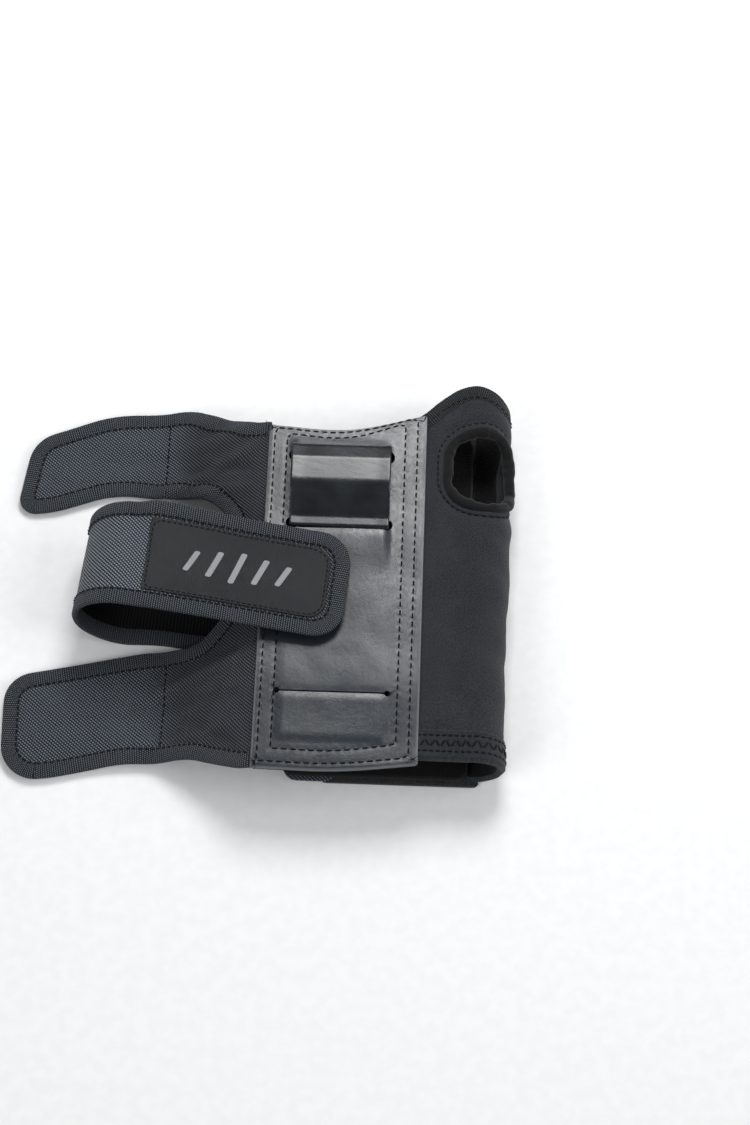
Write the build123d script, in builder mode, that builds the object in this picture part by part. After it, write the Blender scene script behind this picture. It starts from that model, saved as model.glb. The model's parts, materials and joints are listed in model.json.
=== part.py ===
from build123d import *
from math import cos, radians, sin, tan
import os

# Wrist guard for the left hand, lying on its dorsal side with the palm side up.
# +X points to the thumb side, +Y to the fingers, +Z from the dorsal face to the palm.
# The origin lies on the resting face, under the middle of the palm panel. All in mm.

# Palm panel: thin leather over a bent plastic splint and a foam pad
PANEL_LEFT = -36.0
PANEL_RIGHT = 41.0
PANEL_BOTTOM = -88.0
PANEL_TOP = 88.0
PANEL_RISE = 7.5
PANEL_DIP = 1.5
PANEL_SAG = 0.3
LEATHER_BASE = 33.8
LEATHER_TOP = 35.0
STITCH_INSETS = (3.5, 8.5)
THREAD_WIDTH = 0.6
THREAD_HEIGHT = 0.3
PAD_INSET = 2.0
PAD_BASE = 27.5
PAD_TOP = 30.2
TAPE_WIDTH = 9.0
TAPE_BASE = 31.0
TAPE_TOP = 33.5

# Palm splint and the slits that it is threaded through
SPLINT_WIDTH = 48.4
SPLINT_THICKNESS = 2.4
SPLINT_MID = 32.4
SPLINT_BACK = -78.0
SPLINT_FRONT = 80.0
BUMP_FOOT = 33.0
BUMP_CREST = 66.0
BUMP_HEIGHT = 46.8
BUMP_EDGE = 72.4
SLIT_LENGTH = 52.0
SLIT_WIDTH = 1.6
PUNCH_RADIUS = 1.5
THREADED_SLIT_WIDTH = 7.2
LOWER_SLIT = -50.5
MIDDLE_SLIT = 35.2
UPPER_SLIT = 71.6

# Neoprene shell: C section, open on the little-finger side
SHELL_RADIUS = 16.75
SHELL_THICKNESS = 3.0
SHELL_CENTRE_X = 65.75
SHELL_PALM_END = 36.0
SHELL_DORSAL_END = 66.4
SHELL_BOTTOM = -80.0
SHELL_TOP = 113.0
HEM_WIDTH = 12.5
EDGE_WIDTH = 5.0

# Thumb hole, cut at a slant through the thumb side of the shell
THUMB_Y = 68.0
THUMB_LENGTH = 50.0
THUMB_WIDTH = 39.0
THUMB_SLANT = 55.0
THUMB_SHIFT = 4.5
THUMB_HEM = 5.0

# Dorsal side: loop panel, side margin, splint pocket and lining
LOOP_LEFT = -4.0
LOOP_RIGHT = 66.0
LOOP_BOTTOM = -84.0
LOOP_TOP = 100.0
LOOP_CORNER = 6.0
LOOP_THICKNESS = 1.8
MARGIN_LEFT = -22.0
MARGIN_RIGHT = 3.0
MARGIN_BASE = 2.3
MARGIN_TOP = 3.5
DORSAL_SPLINT_WIDTH = 44.0
DORSAL_SPLINT_LENGTH = 150.0
DORSAL_SPLINT_X = 31.0
DORSAL_SPLINT_BACK = -76.0
DORSAL_SPLINT_BASE = 2.2
DORSAL_SPLINT_TOP = 4.2
DORSAL_SPLINT_CORNER = 14.0
WELT_WIDTH = 5.0
WELT_BASE = 2.0
WELT_TOP = 4.5
LINING_BASE = 4.8
LINING_TOP = 7.6
FIT_GAP = 0.4

# Side wing and its two closing tabs, one C-shaped piece of nylon folded at three lines
WING_HINGE_X = -38.0
WING_HINGE_Z = 31.2
TAB_HINGE_X = -84.15
FOLD_GAP = 0.15
WING_FABRIC = 2.0
WING_BINDING = 2.6
BINDING_WIDTH = 8.0
TAB_FABRIC_BASE = 1.3
TAB_FABRIC_TOP = 3.3
TAB_BINDING_TOP = 3.7
HOOK_THICKNESS = 1.1
HOOK_START = 6.0
TAB_STITCH_INSET = 8.8
TAB_DIVIDE_Y = 15.0

# Wrist strap: a flat leg on the ground, a curl and a free end over the palm
STRAP_WIDTH = 50.0
STRAP_TURN = -5.0
STRAP_THICKNESS = 2.2
STRAP_SKIN = 0.3
CURL_X = -100.0
CURL_RADIUS = 24.0
LEG_Y = 6.5
CURL_Y = 9.0
END_Y = 12.3
LEG_RIGHT = -5.5
END_LENGTH = 106.0
END_SLOPE = 4.5
END_CORNER = 15.0
STRAP_HOOK_START = 52.0
LABEL_START = 10.0
LABEL_END = 96.5
LABEL_HEIGHT = 33.0
LABEL_CORNER = 7.0

# Far enough to pass right through the guard, for cutting and trimming
THROUGH = 60.0

os.makedirs("parts", exist_ok=True)


def save(part, name):
    """Labels a finished part and writes its STEP file."""
    part.label = name
    export_step(part, f"parts/{name}.step")


def slab(left, right, back, front, corner):
    """Adds a rounded rectangle to the sketch, from its left back to its right front corner."""
    with Locations(((left + right) / 2, (back + front) / 2)):
        RectangleRounded(right - left, front - back, corner)


# Palm side ---------------------------------------------------------------------------------


def panel_outline(inset):
    """Palm panel outline, inset evenly: the finger edge dips and rises to the thumb side."""
    left, right = PANEL_LEFT + inset, PANEL_RIGHT - inset
    back, front = PANEL_BOTTOM + inset, PANEL_TOP - inset
    middle = (left + right) / 2
    with BuildSketch() as outline:
        with BuildLine():
            ThreePointArc((left, back), (middle, back - PANEL_SAG), (right, back + PANEL_RISE / 2))
            Line((right, back + PANEL_RISE / 2), (right, front + PANEL_RISE))
            ThreePointArc((right, front + PANEL_RISE), (middle, front - PANEL_DIP), (left, front))
            Line((left, front), (left, back))
        make_face()
    return outline.sketch


def make_palm_leather():
    """Leather panel with two slits for the splint bump and a closed slit near the wrist."""
    with BuildPart() as palm_leather:
        with BuildSketch(Plane.XY.offset(LEATHER_BASE)):
            add(panel_outline(0))
            with Locations((0, MIDDLE_SLIT), (0, UPPER_SLIT)):
                SlotOverall(SLIT_LENGTH, THREADED_SLIT_WIDTH, mode=Mode.SUBTRACT)
            with Locations((0, LOWER_SLIT)):
                SlotOverall(SLIT_LENGTH, SLIT_WIDTH, mode=Mode.SUBTRACT)
            with Locations((-SLIT_LENGTH / 2, LOWER_SLIT), (SLIT_LENGTH / 2, LOWER_SLIT)):
                Circle(PUNCH_RADIUS, mode=Mode.SUBTRACT)
        extrude(amount=LEATHER_TOP - LEATHER_BASE)
    save(palm_leather.part, "palm_leather")


def make_palm_stitching():
    """Two rows of thread round the palm panel."""
    with BuildPart() as palm_stitching:
        for inset in STITCH_INSETS:
            with BuildSketch(Plane.XY.offset(LEATHER_TOP)):
                add(panel_outline(inset))
            extrude(amount=THREAD_HEIGHT)
            with BuildSketch(Plane.XY.offset(LEATHER_TOP)):
                add(panel_outline(inset + THREAD_WIDTH))
            extrude(amount=THREAD_HEIGHT, mode=Mode.SUBTRACT)
    save(palm_stitching.part, "palm_stitching")


def make_palm_splint():
    """Bent ABS plate: flat under the leather, then a raised bump between two slits."""
    with BuildPart() as palm_splint:
        with BuildSketch(Plane.YZ.offset(-SPLINT_WIDTH / 2)):
            with BuildLine() as middle:
                FilletPolyline(
                    (SPLINT_BACK, SPLINT_MID),
                    (BUMP_FOOT, SPLINT_MID),
                    (39.5, 39.0),
                    (53.0, 43.8),
                    (BUMP_CREST, BUMP_HEIGHT),
                    (BUMP_EDGE, BUMP_HEIGHT - 1.4),
                    (BUMP_EDGE + 0.2, SPLINT_MID),
                    (SPLINT_FRONT, SPLINT_MID),
                    radius=[6.0, 10.0, 14.0, 12.0, 3.0, 2.4],
                )
            trace(middle.line, line_width=SPLINT_THICKNESS)
        extrude(amount=SPLINT_WIDTH)
    save(palm_splint.part, "palm_splint")


def make_palm_pad():
    """Foam pad that lies against the hand."""
    with BuildPart() as palm_pad:
        with BuildSketch(Plane.XY.offset(PAD_BASE)):
            add(panel_outline(PAD_INSET))
        extrude(amount=PAD_TOP - PAD_BASE)
    save(palm_pad.part, "palm_foam_pad")


def make_seam_tape():
    """Sewn-in edge of the side wing, held between leather and pad."""
    with BuildPart() as tape:
        with BuildSketch(Plane.XY.offset(TAPE_BASE)):
            slab(PANEL_LEFT, PANEL_LEFT + TAPE_WIDTH, PANEL_BOTTOM, PANEL_TOP, 1.0)
        extrude(amount=TAPE_TOP - TAPE_BASE)
    save(tape.part, "wing_seam_tape")


# Neoprene shell ----------------------------------------------------------------------------


def shell_section():
    """C section of the shell, seen from the forearm end."""
    with BuildSketch() as section:
        with Locations((SHELL_CENTRE_X, SHELL_RADIUS)):
            Circle(SHELL_RADIUS)
        with Locations((SHELL_PALM_END, 2 * SHELL_RADIUS)):
            flat_length = SHELL_CENTRE_X - SHELL_PALM_END
            Rectangle(flat_length, SHELL_THICKNESS, align=(Align.MIN, Align.MAX))
        with Locations((SHELL_CENTRE_X, SHELL_RADIUS)):
            Circle(SHELL_RADIUS - SHELL_THICKNESS, mode=Mode.SUBTRACT)
        with Locations((SHELL_PALM_END, 0)):
            open_width = SHELL_DORSAL_END - SHELL_PALM_END
            open_height = 2 * SHELL_RADIUS - SHELL_THICKNESS
            Rectangle(open_width, open_height, align=Align.MIN, mode=Mode.SUBTRACT)
    return section.sketch


def shell_plan(back, front_drop):
    """Plan view of the shell, from a straight back edge to its bulging finger edge."""
    finger_edge = [(34.0, 93.0), (46.0, 103.0), (56.0, 110.3), (67.0, 112.9), (84.0, 103.5)]
    lowered = [(x, y - front_drop) for x, y in finger_edge]
    left, right = lowered[0], lowered[-1]
    with BuildSketch() as plan:
        with BuildLine():
            Spline(*lowered)
            Polyline(right, (right[0], back), (left[0], back), left)
        make_face()
    return plan.sketch


def thumb_plane():
    """Plane at the shell's centre line, facing out through the thumb hole."""
    out = (cos(radians(THUMB_SLANT)), 0, sin(radians(THUMB_SLANT)))
    return Plane(origin=(SHELL_CENTRE_X, THUMB_Y, SHELL_RADIUS), x_dir=(0, 1, 0), z_dir=out)


def make_neoprene_sleeve():
    """Main body of the shell, between the forearm hem and the finger-edge binding."""
    with BuildPart() as sleeve:
        with BuildSketch(Plane.XZ.offset(-SHELL_TOP)):
            add(shell_section())
        extrude(amount=SHELL_TOP - SHELL_BOTTOM)
        with BuildSketch():
            add(shell_plan(SHELL_BOTTOM + HEM_WIDTH, EDGE_WIDTH))
        extrude(amount=THROUGH, mode=Mode.INTERSECT)
        with BuildSketch(thumb_plane()):
            with Locations((0, THUMB_SHIFT)):
                SlotOverall(THUMB_LENGTH, THUMB_WIDTH)
        extrude(amount=THROUGH, mode=Mode.SUBTRACT)
    save(sleeve.part, "neoprene_sleeve")


def make_forearm_hem():
    """Folded hem at the forearm end of the shell."""
    with BuildPart() as hem:
        with BuildSketch(Plane.XZ.offset(-SHELL_TOP)):
            add(shell_section())
        extrude(amount=SHELL_TOP - SHELL_BOTTOM)
        with BuildSketch():
            shell_right = SHELL_CENTRE_X + SHELL_RADIUS
            slab(SHELL_PALM_END, shell_right, SHELL_BOTTOM, SHELL_BOTTOM + HEM_WIDTH, 0.1)
        extrude(amount=THROUGH, mode=Mode.INTERSECT)
    save(hem.part, "forearm_hem")


def make_finger_edge_binding():
    """Elastic binding along the bulging finger edge of the shell."""
    with BuildPart() as binding:
        with BuildSketch(Plane.XZ.offset(-SHELL_TOP)):
            add(shell_section())
        extrude(amount=SHELL_TOP - SHELL_BOTTOM)
        with BuildSketch():
            add(shell_plan(SHELL_BOTTOM, 0))
        extrude(amount=THROUGH, mode=Mode.INTERSECT)
        with BuildSketch():
            add(shell_plan(SHELL_BOTTOM, EDGE_WIDTH))
        extrude(amount=THROUGH, mode=Mode.SUBTRACT)
    save(binding.part, "finger_edge_binding")


def make_thumb_hole_hem():
    """Soft rolled hem inside the thumb hole."""
    with BuildPart() as hem:
        with BuildSketch(Plane.XZ.offset(-SHELL_TOP)):
            add(shell_section())
        extrude(amount=SHELL_TOP - SHELL_BOTTOM)
        with BuildSketch(thumb_plane()):
            with Locations((0, THUMB_SHIFT)):
                SlotOverall(THUMB_LENGTH, THUMB_WIDTH)
                inner_length = THUMB_LENGTH - 2 * THUMB_HEM
                inner_width = THUMB_WIDTH - 2 * THUMB_HEM
                SlotOverall(inner_length, inner_width, mode=Mode.SUBTRACT)
        extrude(amount=THROUGH, mode=Mode.INTERSECT)
    save(hem.part, "thumb_hole_hem")


# Dorsal side -------------------------------------------------------------------------------


def make_dorsal_slab(name, left, right, back, front, base, top):
    """A flat sewn layer of the dorsal side."""
    with BuildPart() as layer:
        with BuildSketch(Plane.XY.offset(base)):
            slab(left, right, back, front, LOOP_CORNER)
        extrude(amount=top - base)
    save(layer.part, name)


def splint_pocket(grow):
    """Plan of the dorsal splint, grown evenly all round."""
    slab(
        DORSAL_SPLINT_X - DORSAL_SPLINT_WIDTH / 2 - grow,
        DORSAL_SPLINT_X + DORSAL_SPLINT_WIDTH / 2 + grow,
        DORSAL_SPLINT_BACK - grow,
        DORSAL_SPLINT_BACK + DORSAL_SPLINT_LENGTH + grow,
        DORSAL_SPLINT_CORNER + grow,
    )


def make_dorsal_splint():
    """Flat removable splint that slides out of its pocket at the forearm end."""
    with BuildPart() as splint:
        with BuildSketch(Plane.XY.offset(DORSAL_SPLINT_BASE)):
            splint_pocket(0)
        extrude(amount=DORSAL_SPLINT_TOP - DORSAL_SPLINT_BASE)
    save(splint.part, "dorsal_splint")


def make_pocket_welt():
    """U-shaped sewn band that closes the splint pocket on three sides."""
    mouth = DORSAL_SPLINT_BACK + DORSAL_SPLINT_CORNER + WELT_WIDTH
    reach = 2 * DORSAL_SPLINT_LENGTH
    with BuildPart() as welt:
        with BuildSketch(Plane.XY.offset(WELT_BASE)):
            splint_pocket(FIT_GAP + WELT_WIDTH)
            with Locations((DORSAL_SPLINT_X, mouth)):
                Rectangle(reach, reach, align=(Align.CENTER, Align.MAX), mode=Mode.SUBTRACT)
            front = DORSAL_SPLINT_BACK + DORSAL_SPLINT_LENGTH + FIT_GAP
            with Locations((DORSAL_SPLINT_X, front)):
                RectangleRounded(
                    DORSAL_SPLINT_WIDTH + 2 * FIT_GAP,
                    DORSAL_SPLINT_LENGTH,
                    DORSAL_SPLINT_CORNER,
                    align=(Align.CENTER, Align.MAX),
                    mode=Mode.SUBTRACT,
                )
        extrude(amount=WELT_TOP - WELT_BASE)
    save(welt.part, "splint_pocket_welt")


# Side wing and tabs ------------------------------------------------------------------------


def wing_outline(inset):
    """Plan of the C-shaped nylon piece, from under the leather out to both tab tips."""
    corners = [
        (-28.0, 90.0),
        (-45.0, 91.0),
        (-78.0, 108.0),
        (-118.0, 105.5),
        (-157.5, 91.0),
        (-163.0, 50.0),
        (-145.0, 50.8),
        (-112.0, 60.8),
        (-65.0, 56.0),
        (-51.0, 38.0),
        (-52.0, -8.0),
        (-66.0, -22.5),
        (-90.0, -22.6),
        (-159.5, -37.0),
        (-157.5, -89.0),
        (-135.0, -87.8),
        (-100.0, -80.5),
        (-68.0, -77.5),
        (-42.0, -88.0),
        (-28.0, -88.0),
    ]
    bends = [20.0, 30.0, 80.0, 18.0, 8.0, 60.0, 60.0, 12.0, 25.0, 14.0, 12.0, 90.0]
    bends += [15.0, 17.0, 80.0, 80.0, 40.0, 20.0]
    with BuildSketch() as outline:
        with BuildLine():
            FilletPolyline(*corners, radius=bends)
            Line(corners[-1], corners[0])
        make_face()
        if inset:
            offset(amount=-inset, mode=Mode.REPLACE)
    return outline.sketch


def wing_section(thickness):
    """Section of the sloping sheet from the leather edge down to the tabs, inner face fixed."""
    foot_x = TAB_HINGE_X + FOLD_GAP
    slope_x = WING_HINGE_X - foot_x
    slope_length = (slope_x**2 + WING_HINGE_Z**2) ** 0.5
    lift = thickness * slope_length / slope_x
    with BuildSketch() as section:
        with BuildLine():
            Polyline(
                (WING_HINGE_X, WING_HINGE_Z),
                (WING_HINGE_X, WING_HINGE_Z + thickness),
                (WING_HINGE_X - lift / 2, WING_HINGE_Z + thickness),
                (foot_x, lift),
                (foot_x, 0),
                close=True,
            )
        make_face()
    return section.sketch


def make_side_wing():
    """Sloping part of the nylon piece and the binding along its free edges."""
    with BuildPart() as wing:
        with BuildSketch(Plane.XZ.offset(-2 * THROUGH)):
            add(wing_section(WING_FABRIC))
        extrude(amount=4 * THROUGH)
        with BuildSketch():
            add(wing_outline(BINDING_WIDTH))
        extrude(amount=THROUGH, mode=Mode.INTERSECT)
    save(wing.part, "side_wing")
    with BuildPart() as binding:
        with BuildSketch(Plane.XZ.offset(-2 * THROUGH)):
            add(wing_section(WING_BINDING))
        extrude(amount=4 * THROUGH)
        with BuildSketch():
            add(wing_outline(0))
        extrude(amount=THROUGH, mode=Mode.INTERSECT)
        with BuildSketch():
            add(wing_outline(BINDING_WIDTH))
        extrude(amount=THROUGH, mode=Mode.SUBTRACT)
    save(binding.part, "side_wing_binding")


def tab_region(side, right):
    """Half plane that holds one tab: side is 1 for the finger end and -1 for the forearm end."""
    align_y = Align.MIN if side > 0 else Align.MAX
    with Locations((right, TAB_DIVIDE_Y)):
        Rectangle(
            4 * THROUGH, 4 * THROUGH, align=(Align.MAX, align_y), mode=Mode.INTERSECT
        )


def make_tab(prefix, side):
    """One flat tab end: fabric, edge binding, stitch row and the hook patch under it."""
    fold_x = TAB_HINGE_X - FOLD_GAP
    with BuildPart() as fabric:
        with BuildSketch(Plane.XY.offset(TAB_FABRIC_BASE)):
            add(wing_outline(BINDING_WIDTH))
            tab_region(side, fold_x)
        extrude(amount=TAB_FABRIC_TOP - TAB_FABRIC_BASE)
    save(fabric.part, f"{prefix}_tab")
    with BuildPart() as binding:
        with BuildSketch():
            add(wing_outline(0))
            tab_region(side, fold_x)
        extrude(amount=TAB_BINDING_TOP)
        with BuildSketch():
            add(wing_outline(BINDING_WIDTH))
        extrude(amount=TAB_BINDING_TOP, mode=Mode.SUBTRACT)
    save(binding.part, f"{prefix}_tab_binding")
    with BuildPart() as hook:
        with BuildSketch():
            add(wing_outline(BINDING_WIDTH + FIT_GAP))
            tab_region(side, fold_x - HOOK_START)
        extrude(amount=HOOK_THICKNESS)
    save(hook.part, f"{prefix}_tab_hook")
    with BuildPart() as stitching:
        with BuildSketch(Plane.XY.offset(TAB_FABRIC_TOP)):
            add(wing_outline(TAB_STITCH_INSET))
            tab_region(side, fold_x - HOOK_START)
        extrude(amount=THREAD_HEIGHT)
        with BuildSketch(Plane.XY.offset(TAB_FABRIC_TOP)):
            add(wing_outline(TAB_STITCH_INSET + THREAD_WIDTH))
            tab_region(side, fold_x - HOOK_START - THREAD_WIDTH)
        extrude(amount=THREAD_HEIGHT, mode=Mode.SUBTRACT)
    save(stitching.part, f"{prefix}_tab_stitching")


# Wrist strap -------------------------------------------------------------------------------


def make_strap_leg():
    """Flat leg of the wrist strap, sewn under the dorsal margin, with bound edges."""
    half = STRAP_WIDTH / 2
    slant = tan(radians(-STRAP_TURN))
    for name, inner, outer, base, top in (
        ("strap_leg", 0, half - BINDING_WIDTH, STRAP_SKIN, STRAP_THICKNESS - STRAP_SKIN),
        ("strap_leg_binding", half - BINDING_WIDTH, half, 0, STRAP_THICKNESS),
    ):
        with BuildPart() as leg:
            with BuildSketch(Plane.XY.offset(base)):
                for low, high in ((inner, outer), (-outer, -inner)):
                    back, front = LEG_Y + low, LEG_Y + high
                    with BuildLine():
                        Polyline(
                            (LEG_RIGHT, back),
                            (LEG_RIGHT, front),
                            (CURL_X + 2 * FOLD_GAP + (front - CURL_Y) * slant, front),
                            (CURL_X + 2 * FOLD_GAP + (back - CURL_Y) * slant, back),
                            close=True,
                        )
                    make_face()
            extrude(amount=top - base)
        save(leg.part, name)


def curl_plane():
    """Upright plane across the middle of the strap, with its origin under the curl."""
    turn = radians(STRAP_TURN)
    return Plane(
        origin=(CURL_X, CURL_Y, 0), x_dir=(cos(turn), sin(turn), 0), z_dir=(sin(turn), -cos(turn), 0)
    )


def make_strap_curl():
    """Half-round bend of the strap that carries it from the ground up over the palm."""
    half = STRAP_WIDTH / 2
    for name, skin, bands in (
        ("strap_curl", STRAP_SKIN, [(-half + BINDING_WIDTH, half - BINDING_WIDTH)]),
        (
            "strap_curl_binding",
            0,
            [(-half, -half + BINDING_WIDTH), (half - BINDING_WIDTH, half)],
        ),
    ):
        with BuildPart() as curl:
            for low, high in bands:
                with BuildSketch(curl_plane().offset(low)):
                    with Locations((0, CURL_RADIUS)):
                        Circle(CURL_RADIUS - skin)
                        Circle(CURL_RADIUS - STRAP_THICKNESS + skin, mode=Mode.SUBTRACT)
                    with Locations((-FOLD_GAP, 0)):
                        Rectangle(
                            THROUGH, 2 * THROUGH, align=(Align.MIN, Align.CENTER), mode=Mode.SUBTRACT
                        )
                extrude(amount=high - low)
        save(curl.part, name)


def end_plane(rise):
    """Plane of the strap's free end, sloping down towards the thumb side."""
    turn, slope = radians(STRAP_TURN), radians(END_SLOPE)
    along = (cos(turn) * cos(slope), sin(turn) * cos(slope), -sin(slope))
    up = (cos(turn) * sin(slope), sin(turn) * sin(slope), cos(slope))
    plane = Plane(origin=(CURL_X, END_Y, 2 * CURL_RADIUS), x_dir=along, z_dir=up)
    return plane.offset(rise)


def end_outline(inset, start):
    """Outline of the free end, with two rounded corners at its tip."""
    half = STRAP_WIDTH / 2 - inset
    tip = END_LENGTH - inset
    corner = END_CORNER - inset
    with BuildSketch() as outline:
        with BuildLine():
            FilletPolyline(
                (start, half),
                (tip, half),
                (tip, -half),
                (start, -half),
                radius=[corner, corner],
            )
            Line((start, -half), (start, half))
        make_face()
    return outline.sketch


def make_strap_end():
    """Free end of the strap: fabric, binding, label patch and the hook patch under it."""
    start = 2 * FOLD_GAP
    fabric_depth = STRAP_THICKNESS - 2 * STRAP_SKIN
    with BuildPart() as fabric:
        with BuildSketch(end_plane(-STRAP_SKIN)):
            add(end_outline(BINDING_WIDTH, start))
        extrude(amount=-fabric_depth)
    save(fabric.part, "strap_end")
    with BuildPart() as binding:
        with BuildSketch(end_plane(0)):
            add(end_outline(0, start))
        extrude(amount=-STRAP_THICKNESS)
        with BuildSketch(end_plane(0)):
            add(end_outline(BINDING_WIDTH, start - THREAD_WIDTH))
        extrude(amount=-STRAP_THICKNESS, mode=Mode.SUBTRACT)
    save(binding.part, "strap_end_binding")
    with BuildPart() as hook:
        with BuildSketch(end_plane(STRAP_SKIN - STRAP_THICKNESS)):
            add(end_outline(BINDING_WIDTH + FIT_GAP, STRAP_HOOK_START))
        extrude(amount=-HOOK_THICKNESS)
    save(hook.part, "strap_end_hook")
    with BuildPart() as label:
        with BuildSketch(end_plane(-STRAP_SKIN)):
            with Locations(((LABEL_START + LABEL_END) / 2, 0)):
                RectangleRounded(LABEL_END - LABEL_START, LABEL_HEIGHT, LABEL_CORNER)
        extrude(amount=2 * STRAP_SKIN)
    save(label.part, "strap_label")


make_palm_leather()
make_palm_stitching()
make_palm_splint()
make_palm_pad()
make_seam_tape()
make_neoprene_sleeve()
make_forearm_hem()
make_finger_edge_binding()
make_thumb_hole_hem()
make_dorsal_slab(
    "dorsal_loop_panel", LOOP_LEFT, LOOP_RIGHT, LOOP_BOTTOM, LOOP_TOP, 0, LOOP_THICKNESS
)
make_dorsal_slab(
    "dorsal_margin", MARGIN_LEFT, MARGIN_RIGHT, LOOP_BOTTOM, LOOP_TOP, MARGIN_BASE, MARGIN_TOP
)
make_dorsal_slab(
    "dorsal_lining", MARGIN_LEFT, LOOP_RIGHT - 2, LOOP_BOTTOM + 2, LOOP_TOP - 2, LINING_BASE, LINING_TOP
)
make_dorsal_splint()
make_pocket_welt()
make_side_wing()
make_tab("upper", 1)
make_tab("lower", -1)
make_strap_leg()
make_strap_curl()
make_strap_end()
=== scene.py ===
import bpy
import json
import math
import random
import numpy as np
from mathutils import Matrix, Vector, geometry, kdtree, noise


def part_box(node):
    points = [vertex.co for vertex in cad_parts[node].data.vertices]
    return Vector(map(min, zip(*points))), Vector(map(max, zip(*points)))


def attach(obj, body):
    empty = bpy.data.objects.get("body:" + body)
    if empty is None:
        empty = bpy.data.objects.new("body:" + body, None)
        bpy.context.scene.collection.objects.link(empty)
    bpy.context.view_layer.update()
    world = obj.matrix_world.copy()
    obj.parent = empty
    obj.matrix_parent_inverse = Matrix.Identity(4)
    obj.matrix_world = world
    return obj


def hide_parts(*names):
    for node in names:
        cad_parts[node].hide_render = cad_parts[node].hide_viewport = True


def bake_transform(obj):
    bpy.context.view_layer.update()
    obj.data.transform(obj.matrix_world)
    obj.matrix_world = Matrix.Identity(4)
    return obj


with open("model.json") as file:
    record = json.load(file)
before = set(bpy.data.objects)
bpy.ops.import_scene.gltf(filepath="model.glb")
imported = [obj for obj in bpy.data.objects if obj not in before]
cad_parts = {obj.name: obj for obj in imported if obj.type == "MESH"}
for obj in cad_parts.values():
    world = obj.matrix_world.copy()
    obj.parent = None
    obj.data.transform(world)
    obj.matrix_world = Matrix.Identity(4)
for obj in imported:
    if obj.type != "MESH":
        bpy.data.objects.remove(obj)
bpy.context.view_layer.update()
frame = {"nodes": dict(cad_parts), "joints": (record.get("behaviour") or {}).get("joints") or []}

# Lengths in this script are millimetres in the frame's axes: +X thumb side, +Y fingers,
# +Z palm side. new_object() turns them into metres.
MM = 0.001
SLIT_LENGTH = 52.0
UP = np.array([0.0, 0.0, 1.0])


def box_mm(node):
    """Lowest and highest corner of a CAD node, in millimetres."""
    low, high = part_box(node)
    return np.array(low) / MM, np.array(high) / MM


LEATHER_LOW, LEATHER_HIGH = box_mm("palm_leather")
SHELL_LOW, SHELL_HIGH = box_mm("neoprene_sleeve")
HEM_LOW, HEM_HIGH = box_mm("forearm_hem")
LOOP_LOW, LOOP_HIGH = box_mm("dorsal_loop_panel")
LINING_LOW, LINING_HIGH = box_mm("dorsal_lining")
PAD_LOW, PAD_HIGH = box_mm("palm_foam_pad")
MARGIN_LOW, MARGIN_HIGH = box_mm("dorsal_margin")
TAPE_LOW, TAPE_HIGH = box_mm("wing_seam_tape")
SPLINT_LOW, SPLINT_HIGH = box_mm("palm_splint")
LEG_LOW, LEG_HIGH = box_mm("strap_leg_binding")
HINGES = {j["name"]: np.array(j["pos_m"]) / MM for j in frame["joints"] if "pos_m" in j}


# Curves


def smooth(t):
    """Smooth step from 0 to 1."""
    t = np.clip(t, 0.0, 1.0)
    return t * t * (3 - 2 * t)


def bump(distance, width):
    """Bell curve, 1 at distance 0."""
    return np.exp(-((np.asarray(distance) / width) ** 2))


def soft_ramp(t, radius):
    """0 below 0 and t above it, with a rounded corner."""
    t = np.asarray(t, float)
    return radius * np.logaddexp(0.0, t / radius)


def unit(vectors):
    """The same directions, each of length 1."""
    return vectors / np.maximum(np.linalg.norm(vectors, axis=1), 1e-9)[:, None]


def distance_along(path):
    """How far each point is from the start of its path."""
    return np.concatenate([[0.0], np.cumsum(np.linalg.norm(np.diff(path, axis=0), axis=1))])


def resample(points, step, closed=True):
    """Evenly spaced points along a polyline."""
    path = np.asarray(points, float)
    if closed:
        path = np.vstack([path, path[:1]])
    along = distance_along(path)
    count = max(3, int(round(along[-1] / step)))
    at = np.linspace(0.0, along[-1], count + 1)
    if closed:
        at = at[:-1]
    return np.stack([np.interp(at, along, path[:, i]) for i in range(path.shape[1])], axis=1)


def rounded(corners, radii, step, closed=True):
    """A flat outline whose corners are rounded to their radii, as evenly spaced points."""
    points = []
    count = len(corners)
    for i, corner in enumerate(corners):
        here = np.array(corner, float)
        radius = radii[i] if hasattr(radii, "__len__") else radii
        if radius <= 0 or (not closed and i in (0, count - 1)):
            points.append(here)
            continue
        before = np.array(corners[i - 1], float) - here
        after = np.array(corners[(i + 1) % count], float) - here
        before /= np.linalg.norm(before)
        after /= np.linalg.norm(after)
        half = math.acos(np.clip(before @ after, -1, 1)) / 2
        middle = (before + after) / np.linalg.norm(before + after)
        centre = here + middle * radius / math.sin(half)
        start = here + before * radius / math.tan(half) - centre
        end = here + after * radius / math.tan(half) - centre
        turn = math.atan2(start[0] * end[1] - start[1] * end[0], start @ end)
        pieces = max(2, int(abs(turn) * radius / step))
        for k in range(pieces + 1):
            c, s = math.cos(turn * k / pieces), math.sin(turn * k / pieces)
            points.append(centre + [start[0] * c - start[1] * s, start[0] * s + start[1] * c])
    return resample(points, step, closed)


def curve_through(points, step):
    """A smooth open curve through the points (Catmull-Rom), as evenly spaced points."""
    p = np.asarray(points, float)
    p = np.vstack([2 * p[0] - p[1], p, 2 * p[-1] - p[-2]])
    t = np.linspace(0, 1, 17)[:-1, None]
    fine = [0.5 * (2 * b + (c - a) * t + (2 * a - 5 * b + 4 * c - d) * t**2
                   + (3 * b - a - 3 * c + d) * t**3)
            for a, b, c, d in zip(p, p[1:], p[2:], p[3:])]
    return resample(np.vstack(fine + [p[-2:-1]]), step, closed=False)


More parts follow.
